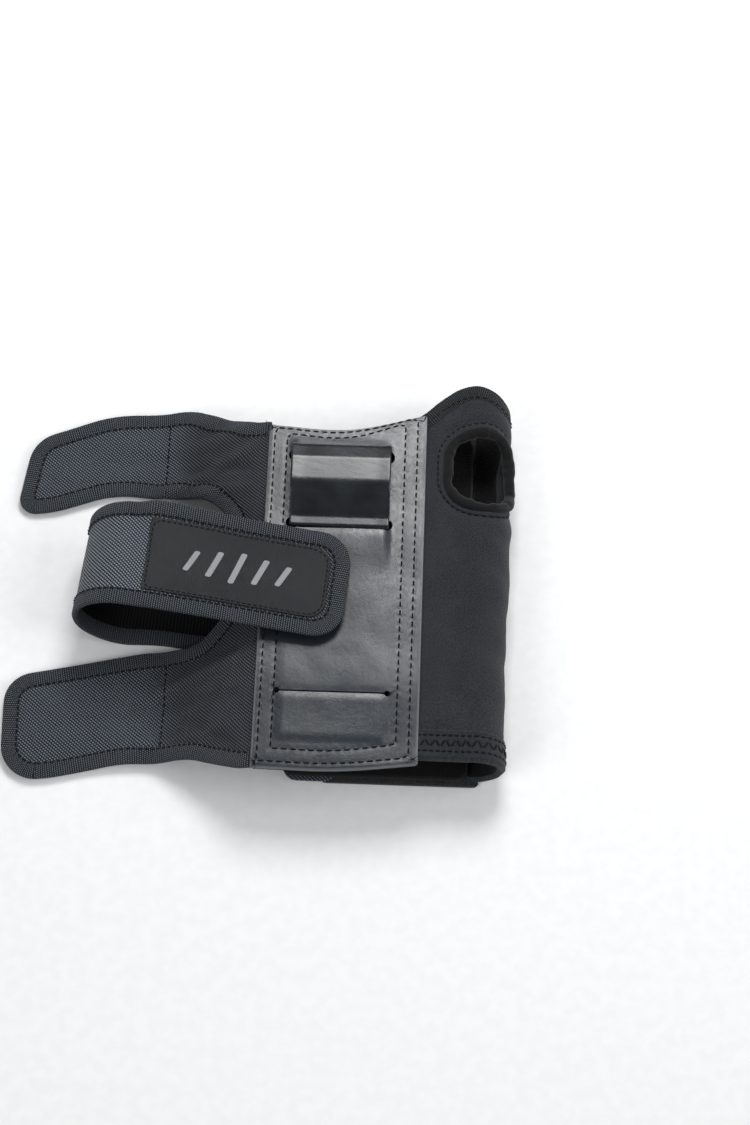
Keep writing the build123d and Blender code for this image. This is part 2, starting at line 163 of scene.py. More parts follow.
def box_corners(low, high, grow=0.0):
    """The four corners of a flat box, anticlockwise."""
    (x0, y0), (x1, y1) = low[:2], high[:2]
    return [(x0 - grow, y0 - grow), (x1 + grow, y0 - grow), (x1 + grow, y1 + grow), (x0 - grow, y1 + grow)]


def signed_area(outline):
    """Area of a flat outline, positive when it runs anticlockwise."""
    x, y = outline[:, 0], outline[:, 1]
    return 0.5 * float(np.sum(x * np.roll(y, -1) - np.roll(x, -1) * y))


def inside(points, outline):
    """Which flat points lie inside a closed outline."""
    found = np.zeros(len(points), bool)
    x, y = points[:, 0], points[:, 1]
    for (x0, y0), (x1, y1) in zip(outline, np.roll(outline, -1, axis=0)):
        crosses = (y0 > y) != (y1 > y)
        with np.errstate(divide="ignore", invalid="ignore"):
            at = x0 + (y - y0) * (x1 - x0) / (y1 - y0)
        found ^= crosses & (x < at)
    return found


def distance_to(points, line, closed=True):
    """Distance from each flat point to a polyline."""
    a = line if closed else line[:-1]
    b = np.roll(line, -1, axis=0) if closed else line[1:]
    best = np.full(len(points), np.inf)
    for p, q in zip(a, b):
        d = q - p
        t = np.clip(((points - p) @ d) / max(d @ d, 1e-12), 0, 1)
        best = np.minimum(best, np.linalg.norm(points - (p + t[:, None] * d), axis=1))
    return best


def to_the_left(along):
    """Flat directions turned a quarter anticlockwise."""
    return np.column_stack([-along[:, 1], along[:, 0]])


def inset(outline, amount):
    """The outline moved inwards by an amount, or outwards if it is negative."""
    side = 1 if signed_area(outline) > 0 else -1
    moved = outline + side * amount * to_the_left(directions(outline, True))
    return moved[distance_to(moved, outline[::2]) > abs(amount) * 0.96]


def creased(points, creases):
    """Height that creases add at flat points. A crease has a start, an end, a width and a height."""
    return sum(height * bump(distance_to(points, np.array([start, end], float), False), width)
               for start, end, width, height in creases)


def rumple(points, size, height, seed):
    """Smooth uneven height over flat points, in millimetres."""
    return height * np.array([noise.noise(Vector((x / size, y / size, seed))) for x, y in points])


# Mesh tools

# How many faces each side of a cloth piece has
SHEET_FACES = {}
# Distance to the edge that the material sees all over a small sheet
FAR_FROM_EDGE = 9.0


def new_object(name, points, faces, flat=None, sharp=()):
    """A smooth mesh object from points in millimetres, with each point's place on the cloth."""
    mesh = bpy.data.meshes.new(name)
    mesh.from_pydata((np.asarray(points) * MM).tolist(), [], faces)
    mesh.polygons.foreach_set("use_smooth", [True] * len(mesh.polygons))
    if flat is not None:
        attribute = mesh.attributes.new("flat", "FLOAT_VECTOR", "POINT")
        attribute.data.foreach_set("vector", (np.asarray(flat, float) * MM).ravel())
    if len(sharp):
        wanted = {tuple(sorted(pair)) for pair in sharp}
        marks = [tuple(sorted(edge.vertices)) in wanted for edge in mesh.edges]
        mesh.attributes.new("sharp_edge", "BOOLEAN", "EDGE").data.foreach_set("value", marks)
    mesh.update()
    obj = bpy.data.objects.new(name, mesh)
    bpy.context.scene.collection.objects.link(obj)
    return obj


def vertex_normals(points, triangles):
    """Unit normals at the points of a triangle mesh."""
    a, b, c = (points[triangles[:, i]] for i in range(3))
    facing = np.cross(b - a, c - a)
    normals = np.zeros_like(points)
    for i in range(3):
        np.add.at(normals, triangles[:, i], facing)
    return unit(normals)


def point_tree(points):
    """A search tree of flat points."""
    tree = kdtree.KDTree(len(points))
    for i, (x, y) in enumerate(points):
        tree.insert((x, y, 0), i)
    tree.balance()
    return tree


def in_sheet(points, loops):
    """Which flat points lie inside the first loop and outside the others."""
    found = inside(points, loops[0])
    for hole in loops[1:]:
        found &= ~inside(points, hole)
    return found


def triangulate(outline, holes, pitch):
    """Fills a flat outline with even triangles: points, triangles and the boundary loops."""
    loops = [np.asarray(outline)] + [np.asarray(h) for h in holes]
    low, high = loops[0].min(0), loops[0].max(0)
    rows = np.arange(low[1], high[1], pitch * 0.866)
    columns = np.arange(low[0], high[0] + pitch, pitch)
    lattice = np.array([(x + (r % 2) * pitch / 2, y) for r, y in enumerate(rows) for x in columns])
    lattice = lattice[in_sheet(lattice, loops)]
    edge_points = np.vstack(loops)
    tree = point_tree(edge_points)
    clear = [tree.find((x, y, 0))[2] > 0.62 * pitch for x, y in lattice]
    lattice = lattice[np.array(clear, bool)] if len(lattice) else lattice
    everything = np.vstack([edge_points, lattice])
    edges, first, index = [], 0, []
    for loop in loops:
        n = len(loop)
        edges += [(first + i, first + (i + 1) % n) for i in range(n)]
        index.append(np.arange(first, first + n))
        first += n
    made = geometry.delaunay_2d_cdt([Vector(p) for p in everything], edges, [], 1, 1e-6)
    points = np.array([tuple(p) for p in made[0]])
    triangles = np.array([f for f in made[2] if len(f) == 3])
    triangles = triangles[in_sheet(points[triangles].mean(1), loops)]
    where = {old: new for new, olds in enumerate(made[3]) for old in olds}
    index = [np.array([where[i] for i in loop]) for loop in index]
    a, b, c = (points[triangles[:, i]] for i in range(3))
    d, e = b - a, c - a
    flipped = d[:, 0] * e[:, 1] - d[:, 1] * e[:, 0] < 0
    triangles[flipped] = triangles[flipped][:, ::-1]
    return points, triangles, index


def cloth(name, outline, place, thickness, pitch=1.6, holes=(), edge_round=0.35):
    """A sheet of cloth: a flat outline carried into space by place(flat points), made solid.
    place gives the middle of the sheet, and the face that points along +normal is the top."""
    outline = np.asarray(outline)
    if signed_area(outline) < 0:
        outline = outline[::-1]
    flat, triangles, loops = triangulate(outline, holes, pitch)
    middle = place(flat)
    normals = vertex_normals(middle, triangles)
    count = len(middle)
    top, bottom = middle + normals * thickness / 2, middle - normals * thickness / 2
    points, flats = [top, bottom], [flat, flat]
    faces = [tuple(t) for t in triangles] + [tuple(t[::-1] + count) for t in triangles]
    sharp, first = [], 2 * count
    for number, loop in enumerate(loops):
        ring = loop if (signed_area(flat[loop]) > 0) == (number == 0) else loop[::-1]
        out = np.cross(directions(middle[ring], True), normals[ring])
        points.append(middle[ring] + out * thickness * edge_round)
        flats.append(flat[ring])
        n = len(ring)
        for i in range(n):
            j = (i + 1) % n
            faces.append((ring[i], first + i, first + j, ring[j]))
            faces.append((first + i, ring[i] + count, ring[j] + count, first + j))
            sharp += [(ring[i], ring[j]), (ring[i] + count, ring[j] + count)]
        first += n
    edge = distance_to(flat, outline[::2]) if len(outline) > 40 else np.full(count, FAR_FROM_EDGE)
    depth = np.concatenate([edge, edge, np.zeros(first - 2 * count)])
    flats = np.column_stack([np.vstack(flats), depth])
    SHEET_FACES[name] = len(triangles)
    return new_object(name, np.vstack(points), [tuple(int(i) for i in f) for f in faces], flats, sharp)


def ring_faces(first, rows, around, closed=False):
    """Faces of a strip whose rings of points follow each other from index first."""
    rings = [[first + i * around + k for k in range(around)] for i in range(rows)]
    faces = []
    for a, b in zip(rings, rings[1:] + (rings[:1] if closed else [])):
        faces += [(a[k - 1], b[k - 1], b[k], a[k]) for k in [*range(1, around), 0]]
    return faces if closed else faces + [tuple(rings[0]), tuple(reversed(rings[-1]))]


def strip(name, points, flats, closed):
    """A solid strip from rings of points, each ring going round its section."""
    rows, around = points.shape[:2]
    ends = () if closed else (0, (rows - 1) * around)
    sharp = [(first + k, first + (k + 1) % around) for first in ends for k in range(around)]
    faces = ring_faces(0, rows, around, closed)
    return new_object(name, points.reshape(-1, 3), faces, flats.reshape(-1, 3), sharp)


def strip_flats(path, profile):
    """Where each point of a strip is on its own cloth: distance along it and round its section."""
    flats = np.zeros((len(path), len(profile), 3))
    flats[:, :, 0] = distance_along(path)[:, None]
    flats[:, :, 1] = distance_along(profile)[None, :]
    return flats


def sweep(name, path, inward, up, profile, closed=False, swell=None):
    """A solid strip along a path in space. The profile's points are (inward, up) distances."""
    shape = np.tile(profile, (len(path), 1, 1))
    if swell is not None:
        shape = shape * swell[:, None, None]
    points = path[:, None] + inward[:, None] * shape[:, :, :1] + up[:, None] * shape[:, :, 1:]
    return strip(name, points, strip_flats(path, profile), closed)


def tape(name, path, place, profile, closed=False, ways=None):
    """A tape sewn along a flat path of a sheet: it follows the sheet under it."""
    ways = directions(path, closed) if ways is None else ways
    points = np.zeros((len(path), len(profile), 3))
    for k, (reach, rise) in enumerate(profile):
        centre, _, up = frames_at(path + to_the_left(ways) * reach, ways, place)
        points[:, k] = centre + up * rise
    return strip(name, points, strip_flats(path, profile), closed)


def frames_at(flat, along, place):
    """Carries flat points into space: the points, the direction to their left, the normal."""
    reach = 0.4
    centre = place(flat)
    ahead = place(flat + along * reach) - centre
    side = place(flat + to_the_left(along) * reach) - centre
    up = unit(np.cross(ahead, side))
    return centre, unit(side - (side * up).sum(1)[:, None] * up), up


def directions(path, closed):
    """Unit direction of travel at each point of a path."""
    if closed:
        return unit(np.roll(path, -1, axis=0) - np.roll(path, 1, axis=0))
    return unit(np.gradient(path, axis=0))


def lifted(place, amount):
    """The same sheet, moved along its normal."""
    def placed(flat):
        centre, _, up = frames_at(flat, np.tile([1.0, 0.0], (len(flat), 1)), place)
        return centre + up * amount
    return placed


def anticlockwise(outline):
    """The same outline, running anticlockwise."""
    return outline if signed_area(outline) > 0 else outline[::-1]


def slot_outline(y, width):
    """A slit wide enough to thread the splint through, with round ends."""
    half, run = width / 2, (SLIT_LENGTH - width) / 2
    turn = np.linspace(-math.pi / 2, math.pi / 2, 9)
    end = np.column_stack([np.cos(turn) * half + run, np.sin(turn) * half])
    return resample(np.vstack([end, -end]) + [0, y], 1.4)


def punched_slit(y, width=0.9, punch=1.5):
    """A closed slit with a punched hole at each end."""
    half = SLIT_LENGTH / 2
    start = math.asin(width / 2 / punch)
    turn = np.linspace(-math.pi + start, math.pi - start, 15)
    end = np.column_stack([np.cos(turn) * punch + half, np.sin(turn) * punch])
    run = np.linspace(half - punch, -half + punch, 30)[1:-1]
    high = np.column_stack([run, np.full(len(run), width / 2)])
    return np.vstack([end, high, -end, -high]) + [0, y]


def plate_profile(half, thickness, edge, rim):
    """Section of a plate with round edges and slightly raised rims."""
    turn = np.linspace(math.pi, math.pi / 2, 5)
    corner = np.column_stack([np.cos(turn) * edge - half + edge, np.sin(turn) * thickness / 2])
    face = np.array([(x, thickness / 2) for x in np.linspace(-half + edge + 0.6, half - edge - 0.6, 15)])
    top = np.vstack([corner, face, corner[::-1] * [-1, 1]])
    bottom = top[1:-1][::-1] * [1, -1]
    top[:, 1] += rim * smooth((np.abs(top[:, 0]) - half + 3.4) / 2.2)
    return np.vstack([top, bottom])


def band_profile(width, outer, inner):
    """Section of a folded tape, from its thick outer edge to its thin inner one."""
    top = [(0.0, 0.3 * outer), (0.3, 0.78 * outer), (1.0, outer),
           (width / 2, outer / 2 + inner / 2 + 0.1), (width - 0.5, inner), (width, inner - 0.4)]
    return np.array(top + [(x, -z) for x, z in top[::-1]])


def roll_profile(width, half):
    """Section of a soft roll."""
    turn = np.linspace(math.pi, -math.pi, 17)[:-1]
    return np.column_stack([width / 2 * (1 + np.cos(turn)), half * np.sin(turn) - 0.3])


def needle_row(path, pitch, closed=True):
    """Needle holes of one row of stitches."""
    spots = resample(path, pitch, closed)
    return np.vstack([spots, spots[:1]]) if closed else spots


def straight_row(start, end, pitch):
    """Needle holes of one straight row."""
    return needle_row(np.array([start, end]), pitch, closed=False)


def stitches(name, rows, place, lift, fill=0.9, radius=0.4):
    """Thread stitches between the needle holes of each row; each dives into the cloth at its ends."""
    here = np.vstack([row[:-1] for row in rows])
    there = np.vstack([row[1:] for row in rows])
    rings, sides = 7, 6
    t = np.linspace(-1, 1, rings)
    step = there - here
    flat = (here + there)[:, None] / 2 + step[:, None] * (t * fill / 2)[None, :, None]
    along = np.repeat(unit(step), rings, axis=0)
    centre, side, up = frames_at(flat.reshape(-1, 2), along, place)
    t = np.tile(t, len(here))
    centre = centre + up * (lift - radius * 1.9 * np.abs(t) ** 3)[:, None]
    size = radius * np.sqrt(np.maximum(1 - (0.9 * t) ** 4, 0.05))
    turn = np.arange(sides) * 2 * math.pi / sides
    ring = side[:, None] * np.cos(turn)[None, :, None] - up[:, None] * np.sin(turn)[None, :, None]
    points = centre[:, None] + size[:, None, None] * ring
    flats = np.zeros((len(t), sides, 3))
    flats[:, :, 0] = t[:, None] * 1.7
    flats[:, :, 1] = turn[None, :] * radius
    faces = sum((ring_faces(i * rings * sides, rings, sides) for i in range(len(here))), [])
    return new_object(name, points.reshape(-1, 3), faces, flats.reshape(-1, 3))


# Where each sheet of cloth runs: flat points (u, v) to points in space

PANEL_RISE = 7.5
PANEL_DIP = 1.5
PANEL_SAG = 0.3
LEATHER_DEPTH = 1.2
RELIEF_HALF_WIDTH = 24.0
LOWER_SLIT_Y = -50.5
MIDDLE_SLIT_Y = 35.2
UPPER_SLIT_Y = 71.6
# Distance of each stitch row from the left, low, right and high edges
STITCH_INSETS = ((2.6, 3.2, 4.2, 1.5), (8.8, 9.4, 10.2, 4.6))
STITCH_PITCH = 4.2


def panel_outline(step=1.5, from_left=0.0, from_low=0.0, from_right=0.0, from_high=0.0):
    """The palm panel, or a row inside it: its finger edge dips and rises to the thumb side."""
    left, back = LEATHER_LOW[0] + from_left, LEATHER_LOW[1] + from_low
    right, front = LEATHER_HIGH[0] - from_right, LEATHER_HIGH[1] - PANEL_RISE - from_high
    middle = (left + right) / 2
    back += PANEL_SAG
    low = curve_through([(left, back), (middle, back - PANEL_SAG), (right, back + PANEL_RISE / 2)], step)
    high = curve_through([(right, front + PANEL_RISE), (middle, front - PANEL_DIP), (left, front)], step)
    return resample(np.vstack([low, high]), step)


PANEL = panel_outline()
ROWS = [needle_row(panel_outline(0.8, *insets), STITCH_PITCH) for insets in STITCH_INSETS]
NEEDLES = [point_tree(row) for row in ROWS]


def panel_relief(flat):
    """How far the leather stands above its flat place: splint under it, grooves, soft edge."""
    x, y = flat[:, 0], flat[:, 1]
    across = smooth((RELIEF_HALF_WIDTH + 3.0 - np.abs(x)) / 5.0)
    along = smooth((y + 76.0) / 5.0) * smooth((MIDDLE_SLIT_Y - 2.5 - y) / 3.0)
    pocket = smooth((LOWER_SLIT_Y - y) / 2.0)
    rise = (0.2 + 0.3 * pocket) * across * along * (1 - 0.75 * bump(y - LOWER_SLIT_Y, 2.2))
    for slit, side, height, reach in ((MIDDLE_SLIT_Y, 1.0, 1.3, 24.0), (UPPER_SLIT_Y, -1.0, 1.1, 9.0)):
        beyond = side * (slit - y)
        lip = smooth(1 - (beyond - 3.0) / reach) * (beyond > 0)
        rise += height * smooth((SLIT_LENGTH / 2 - np.abs(x)) / 5.0) * lip
    edge = distance_to(flat, PANEL)
    rise -= 0.25 * smooth(1 - edge / 1.4) ** 2
    for row, holes in zip(ROWS, NEEDLES):
        rise -= 0.05 * bump(distance_to(flat, row), 0.9)
        rise -= 0.14 * bump([holes.find((x, y, 0))[2] for x, y in flat], 0.9)
    rise += 0.2 * smooth((LEATHER_LOW[0] + 5.0 - x) / 5.0)
    rise += rumple(flat, 30.0, 0.6, 3.0) + rumple(flat, 9.0, 0.08, 5.0)
    return rise


def place_leather(flat):
    """Palm leather, u = X and v = Y."""
    z = LEATHER_LOW[2] + LEATHER_DEPTH / 2 + panel_relief(flat)
    return np.column_stack([flat, z])


SHELL_BOTTOM = HEM_LOW[1]
SHELL_MID_RADIUS = (SHELL_HIGH[2] - SHELL_LOW[2]) / 2 - 1.5
SHELL_MID_Z = (SHELL_HIGH[2] + SHELL_LOW[2]) / 2
SHELL_CENTRE_X = HEM_HIGH[0] - SHELL_MID_RADIUS - 1.5
SHELL_START_X = HEM_LOW[0]
FLAT_RUN = SHELL_CENTRE_X - SHELL_START_X
SHELL_END = FLAT_RUN + math.pi * SHELL_MID_RADIUS
DORSAL_EDGE_Y = 101.0
THUMB_CENTRE_Y = 68.0
THUMB_SLANT = math.radians(55.0)
THUMB_SIZE = (50.0, 39.0)
THUMB_SHIFT = 4.5
THUMB_POINTS = 72
FINGER_EDGE = [(34, 93), (41, 98.4), (46, 103.4), (51, 107.6), (56, 111), (62, 113.3), (68, 113.6),
               (76, 110.5), (84, 103.5)]
# Creases: flat start and end, width, height
SHELL_CREASES = [
    ((14, 40), (40, 34), 4.0, -0.7),
    ((20, 26), (48, 12), 6.0, -0.5),
    ((10, 98), (30, 101), 3.5, -0.5),
    ((30, -20), (58, -30), 7.0, -0.6),
    ((38, 44), (60, 38), 4.0, 0.6),
]


def thumb_outline(grow=0.0, step=1.2):
    """Edge of the thumb hole on the flat neoprene, where the slanted slot cuts the shell."""
    half = THUMB_SIZE[1] / 2 + grow
    straight = (THUMB_SIZE[0] - THUMB_SIZE[1]) / 2
    points = []
    for k in range(THUMB_POINTS):
        turn = 2 * math.pi * k / THUMB_POINTS
        a = half * math.cos(turn) + math.copysign(straight, math.cos(turn))
        b = half * math.sin(turn) + THUMB_SHIFT
        lift = b / SHELL_MID_RADIUS
        if b < SHELL_MID_RADIUS * math.cos(THUMB_SLANT):
            s = FLAT_RUN + SHELL_MID_RADIUS * (math.pi / 2 - THUMB_SLANT - math.asin(max(lift, -1.0)))
        else:
            reach = (SHELL_MID_RADIUS - b * math.cos(THUMB_SLANT)) / math.sin(THUMB_SLANT)
            s = FLAT_RUN - b * math.sin(THUMB_SLANT) + reach * math.cos(THUMB_SLANT)
        points.append((s, THUMB_CENTRE_Y + a))
    return resample(np.array(points), step)[::-1]


THUMB_HOLE = thumb_outline()


def shell_x(s):
    """Plan X of a place along the shell's section."""
    turn = np.clip((s - FLAT_RUN) / SHELL_MID_RADIUS, 0, math.pi)
    return np.where(s < FLAT_RUN, SHELL_START_X + s, SHELL_CENTRE_X + SHELL_MID_RADIUS * np.sin(turn))


def finger_edge_y(s):
    """Y of the finger edge at a place along the section."""
    edge = curve_through(FINGER_EDGE, 1.0)
    y = np.interp(shell_x(np.asarray(s, float)), edge[:, 0], edge[:, 1])
    return np.where(s > FLAT_RUN + math.pi / 2 * SHELL_MID_RADIUS, np.maximum(y, DORSAL_EDGE_Y), y)


def place_shell(flat):
    """Neoprene shell, u = distance round its section from under the leather, v = Y."""
    s, y = flat[:, 0], flat[:, 1]
    turn = np.clip((s - FLAT_RUN) / SHELL_MID_RADIUS, 0, math.pi)
    x = shell_x(s) - np.maximum(s - SHELL_END, 0)
    z = SHELL_MID_Z + SHELL_MID_RADIUS * np.cos(turn)
    hole = distance_to(flat, THUMB_HOLE)
    free = smooth((s - 8.0) / 12.0) * smooth((SHELL_END - 4.0 - s) / 10.0)
    puff = 1.3 * bump(hole - 7.0, 7.0) - 0.9 * bump(hole, 3.0)
    puff += 1.6 * bump(s - FLAT_RUN - 10.0, 16.0) * (bump(y - 30.0, 34.0) - 0.5 * bump(y + 45.0, 30.0))
    puff += rumple(flat, 26.0, 1.5, 11.0) + rumple(flat, 9.0, 0.25, 12.0)
    puff = free * (puff + creased(flat, SHELL_CREASES))
    return np.column_stack([x + np.sin(turn) * puff, y, z + np.cos(turn) * puff])


# Side wing: the sheet leaves the leather, slopes down and lies flat as two tabs
WING_TOP_X = -38.0
TAB_X = HINGES["upper_tab_wrap"][0]
TAB_Z = 2.0
WING_Z = 32.6
WING_SLOPE = (WING_Z - TAB_Z) / (WING_TOP_X - TAB_X)
WING_CUT_X = -62.0
WING_START_X = -31.0
WING_CORNERS = [(-28, 90), (-45, 91), (-78, 108), (-118, 105.5), (-157.5, 91), (-163, 50), (-145, 50.8),
                (-112, 62.6), (-66, 57), (-51, 38), (-52, -8), (-66, -22.5), (-90, -22.6), (-159.5, -37),
                (-157.5, -89), (-135, -87.4), (-100, -79.2), (-68, -78.8), (-42, -88), (-28, -88)]
WING_RADII = [0, 20, 30, 80, 18, 8, 60, 60, 28, 25, 14, 12, 90, 15, 17, 80, 80, 40, 20, 0]
# Folds of the slope: plan start and end, width, height
WING_FOLDS = [
    ((-38, 80), (-88, 62), 3.2, 2.47),
    ((-38, 66), (-80, 74), 2.8, -1.71),
    ((-37, 88), (-100, 86), 4.5, 2.09),
    ((-38, 56), (-70, 60), 3.0, 1.9),
    ((-50, 98), (-120, 74), 5.0, -1.52),
    ((-38, -30), (-84, -44), 3.4, 2.66),
    ((-38, -50), (-96, -52), 3.2, -2.09),
    ((-38, -64), (-90, -70), 3.6, 2.28),
    ((-37, -80), (-70, -60), 3.0, -1.71),
    ((-46, -36), (-62, -74), 4.5, 1.52),
    ((-38, 30), (-50, 16), 4.0, 1.14),
]


def wing_height(x):
    """Height of the middle of the wing sheet over plan X."""
    low = soft_ramp(WING_SLOPE * (x - TAB_X), 3.2)
    high = soft_ramp(WING_SLOPE * (x - WING_TOP_X), 0.9)
    return TAB_Z + low - high


WING_XS = np.linspace(-175.0, -25.0, 601)
WING_US = distance_along(np.column_stack([WING_XS, wing_height(WING_XS)]))


def to_wing_flat(plan):
    """Plan points to flat points of the wing: distance down the slope and Y."""
    return np.column_stack([np.interp(plan[:, 0], WING_XS, WING_US), plan[:, 1]])


def place_wing(flat):
    """Side wing and tabs, u = distance along the sheet from its far left, v = Y."""
    x, y = np.interp(flat[:, 0], WING_US, WING_XS), flat[:, 1]
    plan = np.column_stack([x, y])
    free = smooth((-39.0 - x) / 9.0) * smooth((x + 128.0) / 40.0)
    z = wing_height(x) + free * (rumple(plan, 22.0, 1.6, 21.0) + rumple(plan, 8.0, 0.35, 22.0) + 0.5)
    z += free * creased(plan, WING_FOLDS)
    on_ground = smooth((TAB_X + 4.0 - x) / 16.0)
    lift = 0.4 + 0.6 * np.sin(x / 24.0 + np.sign(y) * 0.8) ** 2
    z += on_ground * (lift + rumple(plan, 34.0, 1.0, 24.0))
    return np.column_stack([x, y, z])


# Wrist strap: d = distance along its middle, 0 where it leaves the ground, v across it
STRAP_HALF = 26.6
STRAP_MID = 1.1
CURL = HINGES["strap_curl_open"]
END = HINGES["strap_end_lift"]
CURL_RADIUS = (END[2] - CURL[2]) / 2 - STRAP_MID
CURL_LENGTH = math.pi * CURL_RADIUS
STRAP_TURN = math.radians(-5.0)
END_SLOPE = math.radians(4.5)
END_LENGTH = 106.0
LEG_Y = (LEG_LOW[1] + LEG_HIGH[1]) / 2 - 1.0
LEG_RUN = LEG_HIGH[0] - CURL[0]
ACROSS = np.array([-math.sin(STRAP_TURN), math.cos(STRAP_TURN), 0])
AHEAD = np.array([math.cos(STRAP_TURN), math.sin(STRAP_TURN), 0])
HALF_CURL = CURL_LENGTH / 2
STRAP_TIP = CURL_LENGTH + END_LENGTH


def place_strap(flat):
    """Wrist strap: leg on the ground, curl, and free end over the palm."""
    d, v = flat[:, 0], flat[:, 1]
    leg, turn = np.minimum(d, 0), np.clip(d, 0, CURL_LENGTH) / CURL_RADIUS
    end = np.maximum(d - CURL_LENGTH, 0)
    slant = smooth(1 + leg / 40.0)[:, None]
    across = slant * ACROSS + (1 - slant) * np.array([0.0, 1.0, 0.0])
    rise = smooth(turn / math.pi)
    centre = np.column_stack([
        np.full(len(d), CURL[0]) - leg,
        LEG_Y + (CURL[1] - LEG_Y) * slant[:, 0] + (END[1] - CURL[1]) * rise,
        np.full(len(d), STRAP_MID),
    ])
    centre -= AHEAD * (CURL_RADIUS * np.sin(turn))[:, None]
    centre[:, 2] += CURL_RADIUS * (1 - np.cos(turn))
    centre += end[:, None] * (AHEAD * math.cos(END_SLOPE) - UP * math.sin(END_SLOPE))
    narrow = 1 - 0.1 * bump(d - HALF_CURL, 24.0) * (v > 0) - 0.05 * smooth(-leg / 20.0) * (v < 0)
    points = centre + across * (v * narrow)[:, None]
    points[:, 1] -= 3.4 * np.clip(end / END_LENGTH, 0, 1) ** 1.6
    points[:, 2] += 5.0 * bump(d - CURL_LENGTH - 16.0, 32.0) * smooth((v + 6.0) / 32.0) * smooth(end / 12.0)
    wave = rumple(np.column_stack([d, v * 0.6]), 30.0, 1.0, 31.0)
    loft = smooth(end / 20.0) * (wave + 0.8 * smooth((end - 70.0) / 30.0) * smooth(np.abs(v) / 25.0))
    dent = smooth(turn / 1.2) * smooth((math.pi - turn) / 1.2) * wave * 0.7
    points[:, 2] += loft
    return points - AHEAD * dent[:, None]


# Materials


